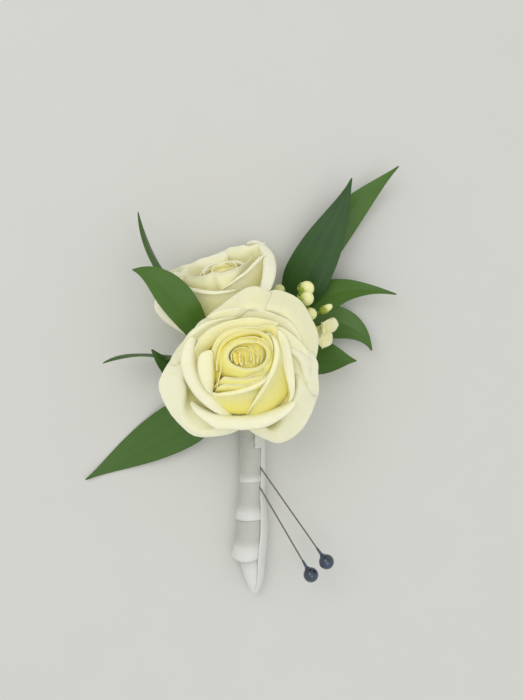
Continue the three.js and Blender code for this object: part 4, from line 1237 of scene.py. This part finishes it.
def hair_tree():
    """Fine glandular hairs that stand out of a surface, scattered with a fixed seed."""
    tree = bpy.data.node_groups.new("Glandular hairs", "GeometryNodeTree")
    group_socket(tree, "Geometry", "NodeSocketGeometry")
    group_socket(tree, "Hairs per square metre", "NodeSocketFloat", 4e6)
    group_socket(tree, "Length", "NodeSocketFloat", 0.0006)
    group_socket(tree, "Radius", "NodeSocketFloat", 0.00004)
    group_socket(tree, "Seed", "NodeSocketInt", 7)
    group_socket(tree, "Material", "NodeSocketMaterial")
    group_socket(tree, "Geometry", "NodeSocketGeometry", into=False)
    given = add_node(tree, "NodeGroupInput").outputs
    spread = add_node(
        tree,
        "GeometryNodeDistributePointsOnFaces",
        {
            "Mesh": given["Geometry"],
            "Density": given["Hairs per square metre"],
            "Seed": given["Seed"],
        },
    )
    hair = add_node(
        tree,
        "GeometryNodeMeshCone",
        {
            "Vertices": 4,
            "Radius Top": 0.00001,
            "Radius Bottom": given["Radius"],
            "Depth": given["Length"],
        },
    ).outputs["Mesh"]
    placed = add_node(
        tree,
        "GeometryNodeInstanceOnPoints",
        {"Points": spread.outputs["Points"], "Instance": hair, "Rotation": spread.outputs["Rotation"]},
    ).outputs[0]
    joined = add_node(tree, "GeometryNodeJoinGeometry", {0: placed})
    tree.links.new(given["Geometry"], joined.inputs[0])
    solid = add_node(tree, "GeometryNodeRealizeInstances", {"Geometry": joined.outputs[0]}).outputs[0]
    painted = add_node(
        tree, "GeometryNodeSetMaterial", {"Geometry": solid, "Material": given["Material"]}
    ).outputs[0]
    add_node(tree, "NodeGroupOutput", {0: painted})
    return tree


def run_tree(tree, source, name, **inputs):
    """Runs a node tree on an object and gives the plain mesh object that comes out."""
    modifier = source.modifiers.new("nodes", "NODES")
    modifier.node_group = tree
    sockets = {item.name: item.identifier for item in tree.interface.items_tree
               if item.in_out == "INPUT"}
    for key, value in inputs.items():
        modifier[sockets[key.replace("_", " ")]] = value
    graph = bpy.context.evaluated_depsgraph_get()
    made = bpy.data.meshes.new_from_object(source.evaluated_get(graph))
    source.modifiers.remove(modifier)
    bpy.data.objects.remove(source)
    piece = bpy.data.objects.new(name, made)
    bpy.context.scene.collection.objects.link(piece)
    return piece


def line_object(points):
    mesh = bpy.data.meshes.new("line")
    edges = [(i, i + 1) for i in range(len(points) - 1)]
    mesh.from_pydata(to_metres(points).tolist(), edges, [])
    line = bpy.data.objects.new("line", mesh)
    bpy.context.scene.collection.objects.link(line)
    return line


def swept(tree, name, points, start, end, material, sides=16, spacing=0.8):
    """A round stem through design points, with radii in millimetres."""
    return run_tree(
        tree,
        line_object(points),
        name,
        Start_radius=start / 1000,
        End_radius=end / 1000,
        Sides=sides,
        Spacing=spacing / 1000,
        Material=material,
    )


def merge(pieces, name):
    """Joins mesh objects into one, with the materials of all."""
    first = pieces[0]
    with bpy.context.temp_override(
        active_object=first, object=first, selected_objects=pieces, selected_editable_objects=pieces
    ):
        bpy.ops.object.join()
    first.name = name
    first.data.name = name
    return first


class BOUTONNIERE_OT_ruscus(bpy.types.Operator):
    """Build the four ruscus sprigs with their leaves"""

    bl_idname = "boutonniere.ruscus"
    bl_label = "Ruscus sprigs"

    def execute(self, context):
        settings = context.scene.boutonniere_greens
        blade = leaf_material(settings)
        bark = stem_material(settings)
        tree = swept_tree()
        for node, sprig in SPRIGS.items():
            shape = Shape("inner", "along", "shade")
            for leaf_name in sprig["leaves"]:
                leaf = LEAVES[leaf_name]
                grid = leaf_grid(leaf)
                grid[..., 2] = np.maximum(grid[..., 2], LEAF_FLOOR)
                rise = np.broadcast_to(np.linspace(0, 1, LEAF_ROWS + 1)[:, None], grid.shape[:2])
                shape.add_sheet(
                    grid[:, ::-1], settings.thickness, LEAF_EDGE, along=rise, shade=leaf.shade
                )
            blades = shape.build(node + "_leaves", blade)
            stem = swept(tree, node + "_stem", sprig["stem"], *SPRIG_STEM_RADII, bark)
            dress(merge([blades, stem], node + "_green"), "ruscus_leaf", node)
        return {"FINISHED"}


# Rose stems

STEMS = {
    "rose_front_stem": {
        "rose": FRONT_ROSE,
        "hip": (3.6, 5.5),
        "sepal": 8.0,
        "line": [(-7.9, -8.4, 13.2), (-8.1, -12.5, 8.2), (-6.6, -19.5, 5.2), *in_handle(-1.15, 0)],
    },
    "rose_back_stem": {
        "rose": BACK_ROSE,
        "hip": (3.2, 5.0),
        "sepal": 5.0,
        "line": [(-7.1, 4.1, 2.8), (-5.2, -6, 2), (-2.6, -17, 2.8), *in_handle(1.15, 0)],
    },
}
SEPALS = 5
HIP_TOP = -0.3  # the height of a hip's upper face, just under the petals' root
ROSE_STEM_RADIUS = 1.0
# The hairs' length and radius are in metres
HAIRS = {"Hairs_per_square_metre": 2.5e6, "Length": 0.0007, "Radius": 0.00005, "Seed": 7}


def star_directions(count):
    """For each of count parts set evenly round an axis, the way out from it and the way across."""
    for number in range(count):
        azimuth = 2 * math.pi * number / count
        out = np.array([math.cos(azimuth), math.sin(azimuth), 0])
        side = np.array([-math.sin(azimuth), math.cos(azimuth), 0])
        yield out, side


def add_calyx(shape, rose, hip, sepal_reach):
    """The green hip under a bloom and its five sepals."""
    radius, height = hip
    profile = [
        (0.5, HIP_TOP - height), (1.35, HIP_TOP - height), (0.72 * radius, HIP_TOP - 0.8 * height),
        (0.98 * radius, HIP_TOP - 0.55 * height), (radius, HIP_TOP - 0.4 * height),
        (0.94 * radius, HIP_TOP - 0.15 * height), (0.8 * radius, HIP_TOP), (0.4, HIP_TOP),
    ]
    shape.add_turned(profile, 32, rose.to_design, along=0.3, shade=0.3)
    for out, side in star_directions(SEPALS):
        curve = [
            out * radius * 0.5 + (0, 0, -1.6),
            out * (radius + sepal_reach * 0.4) + (0, 0, -1.4),
            out * (radius + sepal_reach * 0.75) + (0, 0, -2.2),
            out * (radius + sepal_reach) + (0, 0, -4.6),
        ]
        grid = blade_grid(curve, side, 3.4, 0.1, 8, 16, 0.3, ripple=0.15)
        grid = rose.to_design(grid)
        grid[..., 2] = np.maximum(grid[..., 2], LEAF_FLOOR)
        shape.add_sheet(grid[:, ::-1], 0.4, (0.2, 0.06), along=0.5, shade=0.5)


class BOUTONNIERE_OT_rose_stems(bpy.types.Operator):
    """Build the stems of both roses with their hips, sepals and glandular hairs"""

    bl_idname = "boutonniere.rose_stems"
    bl_label = "Rose stems"

    def execute(self, context):
        bark = stem_material(context.scene.boutonniere_greens)
        stems = swept_tree()
        hairs = hair_tree()
        for node, made in STEMS.items():
            shape = Shape("inner", "along", "shade")
            add_calyx(shape, made["rose"], made["hip"], made["sepal"])
            calyx = shape.build(node + "_calyx", bark)
            calyx = run_tree(hairs, calyx, node + "_calyx", **HAIRS, Material=bark)
            stem = swept(
                stems, node + "_line", made["line"], ROSE_STEM_RADIUS, ROSE_STEM_RADIUS, bark, sides=24
            )
            dress(merge([calyx, stem], node + "_green"), "rose_green", node)
        return {"FINISHED"}


# Filler

# Each bud's centre, radius and how much longer than round it is.
BUDS = [
    ((14.6, 19.9, 20), 2.45, 1.0),
    ((14.4, 16.6, 20.8), 2.4, 1.05),
    ((15.7, 11.7, 19.2), 2.1, 1.1),
    ((21.3, 13.6, 15.5), 1.25, 1.8),
    ((5.9, 20.0, 13.5), 1.8, 0.9),
]
BUD_AXES = [(0.75, 0.55, 0.45), (0.85, 0.2, 0.45), (0.85, -0.1, 0.45), (0.8, 0.5, 0.1), (0, 0.5, 0.8)]
FORK = (13.5, 10.0, 12.0)
BLOSSOM_SEAT = (17.6, 7.2, 15.5)
SPRAY_LINE = [FORK, (10.5, -1, 6), (5, -14, 5.4), (0.4, -19.5, 6.2),
              *in_handle(0.9, 1.85, CUT_SHORT)]
BLOSSOM_AXIS = (0.8, -0.35, 0.4)
BLOSSOM_OFFSET = (0.35, -0.15, 0.3)  # from its seat to the foot of its tube
BLOSSOM_PETALS = 5
BLOSSOM_TUBE = [(0.3, 0), (0.9, 0), (1.1, 1.0), (1.5, 2.4), (1.5, 3.2), (0.5, 3.4)]
STALK_RADIUS = 0.4
PEDICEL_RADII = (0.4, 0.5)  # at the fork and under the bud or blossom, in mm
PEDICEL_SAG = (0, 0, 0.6)
BUD_RINGS = 20
BUD_SIDES = 30


def add_bud(shape, centre, radius, length, axis):
    """A round bud with five shallow furrows where its petals close, in a short green calyx."""
    frame_of_bud = Rose(base=centre, axis=axis, right=(0.1, -1, 0.3))
    rings, sides = BUD_RINGS, BUD_SIDES
    points, uvs, along = [], [], []
    for k in range(rings + 1):
        latitude = -math.pi / 2 + math.pi * k / rings
        for i in range(sides):
            turn = 2 * math.pi * i / sides
            up = math.sin(latitude)
            furrow = 1 - 0.05 * max(up, 0) * (1 - abs(math.sin(2.5 * turn + 1.2 * up))) ** 2
            ring = radius * furrow * max(math.cos(latitude), 0.02)
            points.append((ring * math.cos(turn), ring * math.sin(turn), radius * up * length))
            uvs.append((i / sides, k / rings))
            along.append(k / rings)
    place = frame_of_bud.to_design(np.array(points))
    first = shape.add_points(place, np.array(uvs), along=np.array(along), shade=0.2)
    shape.close_rings(first, rings + 1, sides)
    for out, side in star_directions(SEPALS):
        out = out * radius
        curve = [
            out * 0.2 + (0, 0, -1.05 * radius * length), out * 0.85 + (0, 0, -radius * length),
            out * 1.1 + (0, 0, -0.5 * radius), out * 1.02 + (0, 0, 0.05 * radius),
        ]
        grid = blade_grid(curve, side, 1.1 * radius, 0.0, 6, 10, 0.45)
        grid = frame_of_bud.to_design(grid)
        shape.add_sheet(grid[:, ::-1], 0.25, along=0.05, shade=0.6)


class BOUTONNIERE_OT_filler_spray(bpy.types.Operator):
    """Build the filler spray: stalks, pedicels and round buds"""

    bl_idname = "boutonniere.filler_spray"
    bl_label = "Filler spray"

    def execute(self, context):
        bark = stem_material(context.scene.boutonniere_greens)
        tree = swept_tree()
        shape = Shape("inner", "along", "shade")
        for bud, axis in zip(BUDS, BUD_AXES):
            add_bud(shape, *bud, axis)
        parts = [shape.build("buds", bud_material())]
        parts.append(swept(tree, "stalk", SPRAY_LINE, STALK_RADIUS, STALK_RADIUS, bark))
        for end in [bud[0] for bud in BUDS] + [BLOSSOM_SEAT]:
            middle = (np.asarray(FORK) + np.asarray(end)) / 2 - PEDICEL_SAG
            line = [FORK, tuple(middle), end]
            parts.append(swept(tree, "pedicel", line, *PEDICEL_RADII, bark))
        dress(merge(parts, "filler_buds"), "filler_bud", "filler_spray")
        return {"FINISHED"}


class BOUTONNIERE_OT_filler_blossom(bpy.types.Operator):
    """Build the small open blossom of the filler spray"""

    bl_idname = "boutonniere.filler_blossom"
    bl_label = "Filler blossom"

    def execute(self, context):
        settings = context.scene.boutonniere_petals
        base = tuple(np.asarray(BLOSSOM_SEAT) + BLOSSOM_OFFSET)
        blossom = Rose(base=base, axis=BLOSSOM_AXIS, right=(1, 0, 0))
        shape = Shape("inner", "along", "warmth", "shade")
        shape.add_turned(BLOSSOM_TUBE, 24, blossom.to_design, along=0.2, warmth=0.5, shade=0.4)
        for number, (out, side) in enumerate(star_directions(BLOSSOM_PETALS)):
            curve = [
                out * 0.8 + (0, 0, 1.6), out * 2.0 + (0, 0, 2.4),
                out * 4.0 + (0, 0, 3.6), out * (5.6 - 0.4 * (number % 2)) + (0, 0, 5.2),
            ]
            grid = blade_grid(curve, side, 6.0, 0.2, 14, 18, 0.6, ROUND_TIP, ripple=0.2)
            grid = blossom.to_design(grid)
            rise = np.linspace(0.2, 0.9, grid.shape[0])[:, None]
            rise = np.broadcast_to(rise, grid.shape[:2])
            shape.add_sheet(grid[:, ::-1], 0.35, along=rise, warmth=0.6, shade=number / BLOSSOM_PETALS)
        material = petal_material(settings, "Filler petal")
        dress(shape.build("filler_open_blossom", material), "filler_petals", "filler_blossom")
        return {"FINISHED"}


# Handle

# Each lap of the wound ribbon: y, left, right and height of its oval, from top to lip, then how
# far it leans to the left and bows, and the share of it down to which the ribbon lies single and is
# painted greyer, partly for the tape that shows through and partly as painted shade under the lap above.
LAPS = [
    ([(-26.8, 3.9, 3.9, 4.2), (-30, 3.9, 3.9, 4.5), (-33.2, 4.1, 3.9, 4.6)], 0.2, 0, 1.3),
    ([(-30.5, 3.8, 3.8, 4.2), (-38, 3.9, 3.9, 4.5), (-42, 4.1, 3.9, 4.7), (-44.5, 4.2, 3.9, 4.8)],
     0.2, 0, 0.62),
    ([(-42.0, 3.9, 3.8, 4.3), (-50, 4.4, 3.9, 4.5), (-55, 5.2, 4.4, 5.0), (-57.4, 5.6, 4.6, 5.2)],
     0.2, 0.3, 0.42),
    ([(-55.0, 4.5, 4.3, 4.5), (-62, 4.9, 4.5, 4.7), (-67, 6.0, 4.4, 5.0), (-71.2, 7.0, 3.9, 5.2)],
     0.3, 1.3, 0.45),
    ([(-67.5, 4.4, 3.6, 4.4), (-71, 4.2, 3.6, 4.4), (-77, 2.5, 3.2, 3.2), (-81.5, 0.7, 1.9, 1.7),
      (-83.2, -0.5, 0.9, 0.7)], 0.0, 0, 0.15),
]
STRIP = [
    (-26.6, 4.0, 4.5), (-40, 4.1, 4.6), (-50, 4.3, 4.7), (-58, 4.8, 5.1), (-66, 4.7, 5.0),
    (-71, 4.1, 4.8), (-78, 3.4, 3.2), (-81.8, 2.1, 1.9), (-83.0, 1.2, 1.0),
]
TAB = [(-26.4, 3.6, 4.8), (-30, 3.7, 4.9), (-33.0, 3.7, 4.9)]
LAP_TURN = (math.radians(-165), math.radians(205))
RIBBON_FLOOR = 0.2
LAP_RISE = (0.35, -0.2)  # how far a lap winds outwards over its turn, and where it starts
LAP_CREASE = 0.09
DOUBLED_OVER = 0.3  # the share of a lap over which single ribbon turns to doubled
STRIP_TURNS = (-60, 46, 64)  # see strip_grid
STRIP_LIFT = 0.14
TAB_TURNS = (-20, 78, 78)
TAB_LIFT = 0.3


def lap_grid(sections, lean, bow, columns=64, rows=18):
    """A lap of ribbon round the handle, which starts under its own end."""
    t = np.linspace(0, 1, rows + 1)
    y, left, right, height = along_knots(sections, t).T
    turn = np.linspace(*LAP_TURN, columns + 1)
    spiral = LAP_RISE[0] * (turn - LAP_TURN[0]) / (LAP_TURN[1] - LAP_TURN[0]) + LAP_RISE[1]
    middle = HANDLE_AXIS[0] + (right - left) / 2
    half = (left + right) / 2
    x = middle[:, None] + (half[:, None] + spiral) * np.cos(turn)
    z = HANDLE_AXIS[1] + (height[:, None] + spiral) * np.sin(turn)
    pull = np.sin(2 * turn + 6 * t[:, None]) + 0.6 * np.sin(5 * turn - 9 * t[:, None])
    crease = LAP_CREASE * pull * np.sin(math.pi * np.clip(t, 0, 1))[:, None]
    x = x + crease * np.cos(turn)
    z = z + crease * np.sin(turn)
    slant = lean * np.cos(turn) + bow * np.cos(turn) ** 2
    y = y[:, None] + slant * smooth(t)[:, None]
    return np.stack([x, y, np.maximum(z, RIBBON_FLOOR)], -1)


def strip_grid(sections, turns, lift, columns=16, rows=60):
    """A lengthwise strip over the laps: its lower turn in degrees, then its upper one at each end."""
    t = np.linspace(0, 1, rows + 1)
    y, right, height = along_knots(sections, t).T
    upper = turns[1] + (turns[2] - turns[1]) * smooth(t * 1.4)[:, None]
    turn = np.radians(turns[0] + (upper - turns[0]) * np.linspace(0, 1, columns + 1))
    sway = 0.08 * np.sin(20 * t)[:, None] + 0.05 * np.sin(47 * t)[:, None]
    x = HANDLE_AXIS[0] + (right[:, None] + lift) * np.cos(turn) + sway
    z = HANDLE_AXIS[1] + (height[:, None] + lift) * np.sin(turn)
    y = np.broadcast_to(y[:, None], x.shape)
    return np.stack([x, y, np.maximum(z, RIBBON_FLOOR)], -1)


class BOUTONNIERE_OT_ribbon(bpy.types.Operator):
    """Build the satin ribbon: its laps, its lengthwise strip and its folded end"""

    bl_idname = "boutonniere.ribbon"
    bl_label = "Satin ribbon"

    def execute(self, context):
        settings = context.scene.boutonniere_ribbon
        shape = Shape("inner", "single")
        for sections, lean, bow, doubled_from in LAPS:
            grid = lap_grid(sections, lean, bow)
            share = np.linspace(0, 1, grid.shape[0])[:, None]
            single = 1 - smooth((share - doubled_from) / DOUBLED_OVER)
            shape.add_sheet(
                grid, settings.thickness, (0.03, 0.06),
                single=np.broadcast_to(single, grid.shape[:2]),
            )
        # The ends of the ribbon lie doubled here and are left without the grey of single ribbon, which is
        # partly painted shade, so they are its whitest parts.
        strip = strip_grid(STRIP, STRIP_TURNS, STRIP_LIFT)
        shape.add_sheet(strip, settings.thickness, (0.5, 0.02))
        tab = strip_grid(TAB, TAB_TURNS, TAB_LIFT, rows=12)
        shape.add_sheet(tab, settings.thickness, (0.2, 0.1))
        piece = shape.build("ribbon_wrap", satin_material(settings))
        dress(piece, "satin_ribbon", "satin_ribbon")
        return {"FINISHED"}


class BOUTONNIERE_OT_tape(bpy.types.Operator):
    """Dress the floral tape under the ribbon, whose modelled shape stays"""

    bl_idname = "boutonniere.tape"
    bl_label = "Floral tape"

    def execute(self, context):
        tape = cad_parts["stem_tape"]
        tape.data.materials.clear()
        tape.data.materials.append(tape_material())
        return {"FINISHED"}


# Pins

PINS = {
    "pin_upper": ((-0.7, -39.2, 7.5), (21.3, -69.4, 16.0)),
    "pin_lower": ((-1.0, -45.6, 7.5), (16.3, -74.2, 14.0)),
}
PIN_LENGTH = 48.0
PIN_POINT = 3.0  # the length over which it tapers
PIN_TIP_RADIUS = 0.03
PEARL_SIDES = 48


class BOUTONNIERE_OT_pins(bpy.types.Operator):
    """Build the two corsage pins: steel shafts with points, and pearl heads with collars"""

    bl_idname = "boutonniere.pins"
    bl_label = "Corsage pins"

    def execute(self, context):
        settings = context.scene.boutonniere_pins
        steel = steel_material()
        pearl = pearl_material(settings)
        tree = swept_tree()
        for name, (entry, head) in PINS.items():
            entry, head = np.asarray(entry, float), np.asarray(head, float)
            ahead = unit(entry - head)
            point = PIN_LENGTH - settings.head_radius
            shaft_line = [head - ahead, head + ahead * 20, head + ahead * (point - PIN_POINT)]
            shaft = swept(
                tree, "shaft", shaft_line, settings.shaft_radius, settings.shaft_radius, steel
            )
            tip_line = [
                head + ahead * (point - PIN_POINT), head + ahead * (point - 1.2), head + ahead * point
            ]
            tip = swept(
                tree, "tip", tip_line, settings.shaft_radius, PIN_TIP_RADIUS, steel, spacing=0.3
            )
            dress(merge([shaft, tip], name + "_wire"), "pin_steel", name + "_shaft")
            self.make_head(name, head, ahead, settings, pearl)
        return {"FINISHED"}

    def make_head(self, name, head, ahead, settings, pearl):
        radius = settings.head_radius
        latitudes = np.linspace(-math.pi / 2 + 0.02, math.pi / 2 - 0.46, 26)
        rings = [(radius * math.cos(a), radius * math.sin(a)) for a in latitudes]
        rings += [(0.85, radius + 0.05), (0.56, radius + 0.4), (0.46, radius + 1.4),
                  (0.36, radius + 2.8), (0.3, radius + 2.9)]
        ball = Rose(base=tuple(head), axis=tuple(ahead), right=(1, 0, 0))
        shape = Shape("inner")
        shape.add_turned(rings, PEARL_SIDES, ball.to_design)
        dress(shape.build(name + "_pearl", pearl), "pin_pearl", name + "_head")


# Stage, in metres

# Each light's name, its place from the picture's middle and its size
LIGHTS = [
    ("key light", (-0.2, 0.24, 0.58), 0.4),
    ("fill light", (0.14, -0.2, 0.66), 0.5),
]
LIGHT_COLOUR = (1.0, 0.99, 0.97)
FLOOR_REACH = 3


class BOUTONNIERE_OT_stage(bpy.types.Operator):
    """Set up the camera, the pale floor and the soft studio light"""

    bl_idname = "boutonniere.stage"
    bl_label = "Stage"

    def execute(self, context):
        settings = context.scene.boutonniere_stage
        scene = context.scene
        middle = Vector(to_metres((0, 0, PICTURE_LEVEL)))
        lens = bpy.data.cameras.new("picture camera")
        lens.sensor_width = 36.0
        lens.lens = lens.sensor_width / 2 / math.tan(FIELD_OF_VIEW / 2)
        lens.clip_start = 0.01
        camera = bpy.data.objects.new("picture camera", lens)
        camera.location = Vector(to_metres((0, 0, EYE_HEIGHT)))
        scene.collection.objects.link(camera)
        scene.camera = camera

        mesh = bpy.data.meshes.new("floor")
        corners = [(x * FLOOR_REACH, y * FLOOR_REACH, 0) for x, y in ((-1, -1), (1, -1), (1, 1), (-1, 1))]
        mesh.from_pydata(corners, [], [(0, 1, 2, 3)])
        floor = bpy.data.objects.new("floor", mesh)
        mesh.materials.append(floor_material(settings))
        scene.collection.objects.link(floor)

        for name, offset, size in LIGHTS:
            self.add_light(name, offset, middle, settings.light_power, size)

        world = bpy.data.worlds.new("soft sky")
        world.use_nodes = True
        background = world.node_tree.nodes["Background"]
        background.inputs["Color"].default_value = linear_colour("#f4f5f4")
        background.inputs["Strength"].default_value = settings.sky
        scene.world = world
        scene.view_settings.view_transform = "Standard"
        scene.view_settings.look = "None"
        return {"FINISHED"}

    def add_light(self, name, offset, target, power, size):
        data = bpy.data.lights.new(name, "AREA")
        data.energy = power
        data.size = size
        data.color = LIGHT_COLOUR
        light = bpy.data.objects.new(name, data)
        light.location = target + Vector(offset)
        light.rotation_euler = (-Vector(offset)).to_track_quat("-Z", "Y").to_euler()
        bpy.context.scene.collection.objects.link(light)


OPERATORS = (
    BOUTONNIERE_OT_stage,
    BOUTONNIERE_OT_front_rose,
    BOUTONNIERE_OT_back_rose,
    BOUTONNIERE_OT_rose_stems,
    BOUTONNIERE_OT_ruscus,
    BOUTONNIERE_OT_filler_spray,
    BOUTONNIERE_OT_filler_blossom,
    BOUTONNIERE_OT_tape,
    BOUTONNIERE_OT_ribbon,
    BOUTONNIERE_OT_pins,
)
SETTINGS = {
    "boutonniere_petals": PetalSettings,
    "boutonniere_greens": GreenSettings,
    "boutonniere_ribbon": RibbonSettings,
    "boutonniere_pins": PinSettings,
    "boutonniere_stage": StageSettings,
}


class BOUTONNIERE_PT_panel(bpy.types.Panel):
    """The steps that build the boutonniere, in order"""

    bl_idname = "BOUTONNIERE_PT_panel"
    bl_label = "Boutonniere"
    bl_space_type = "VIEW_3D"
    bl_region_type = "UI"
    bl_category = "Boutonniere"

    def draw(self, context):
        for operator in OPERATORS:
            self.layout.operator(operator.bl_idname)
        for name, group in SETTINGS.items():
            box = self.layout.box()
            box.label(text=group.__doc__)
            for key in group.__annotations__:
                box.prop(getattr(context.scene, name), key)


def register():
    for group in SETTINGS.values():
        bpy.utils.register_class(group)
    for name, group in SETTINGS.items():
        setattr(bpy.types.Scene, name, bpy.props.PointerProperty(type=group))
    for operator in OPERATORS:
        bpy.utils.register_class(operator)
    bpy.utils.register_class(BOUTONNIERE_PT_panel)


def unregister():
    bpy.utils.unregister_class(BOUTONNIERE_PT_panel)
    for operator in reversed(OPERATORS):
        bpy.utils.unregister_class(operator)
    for name in SETTINGS:
        delattr(bpy.types.Scene, name)
    for group in reversed(SETTINGS.values()):
        bpy.utils.unregister_class(group)


def main():
    register()
    for operator in OPERATORS:
        group, step = operator.bl_idname.split(".")
        if getattr(getattr(bpy.ops, group), step)() != {"FINISHED"}:
            raise RuntimeError(operator.bl_label + " could not be built")


if __name__ == "__main__":
    main()
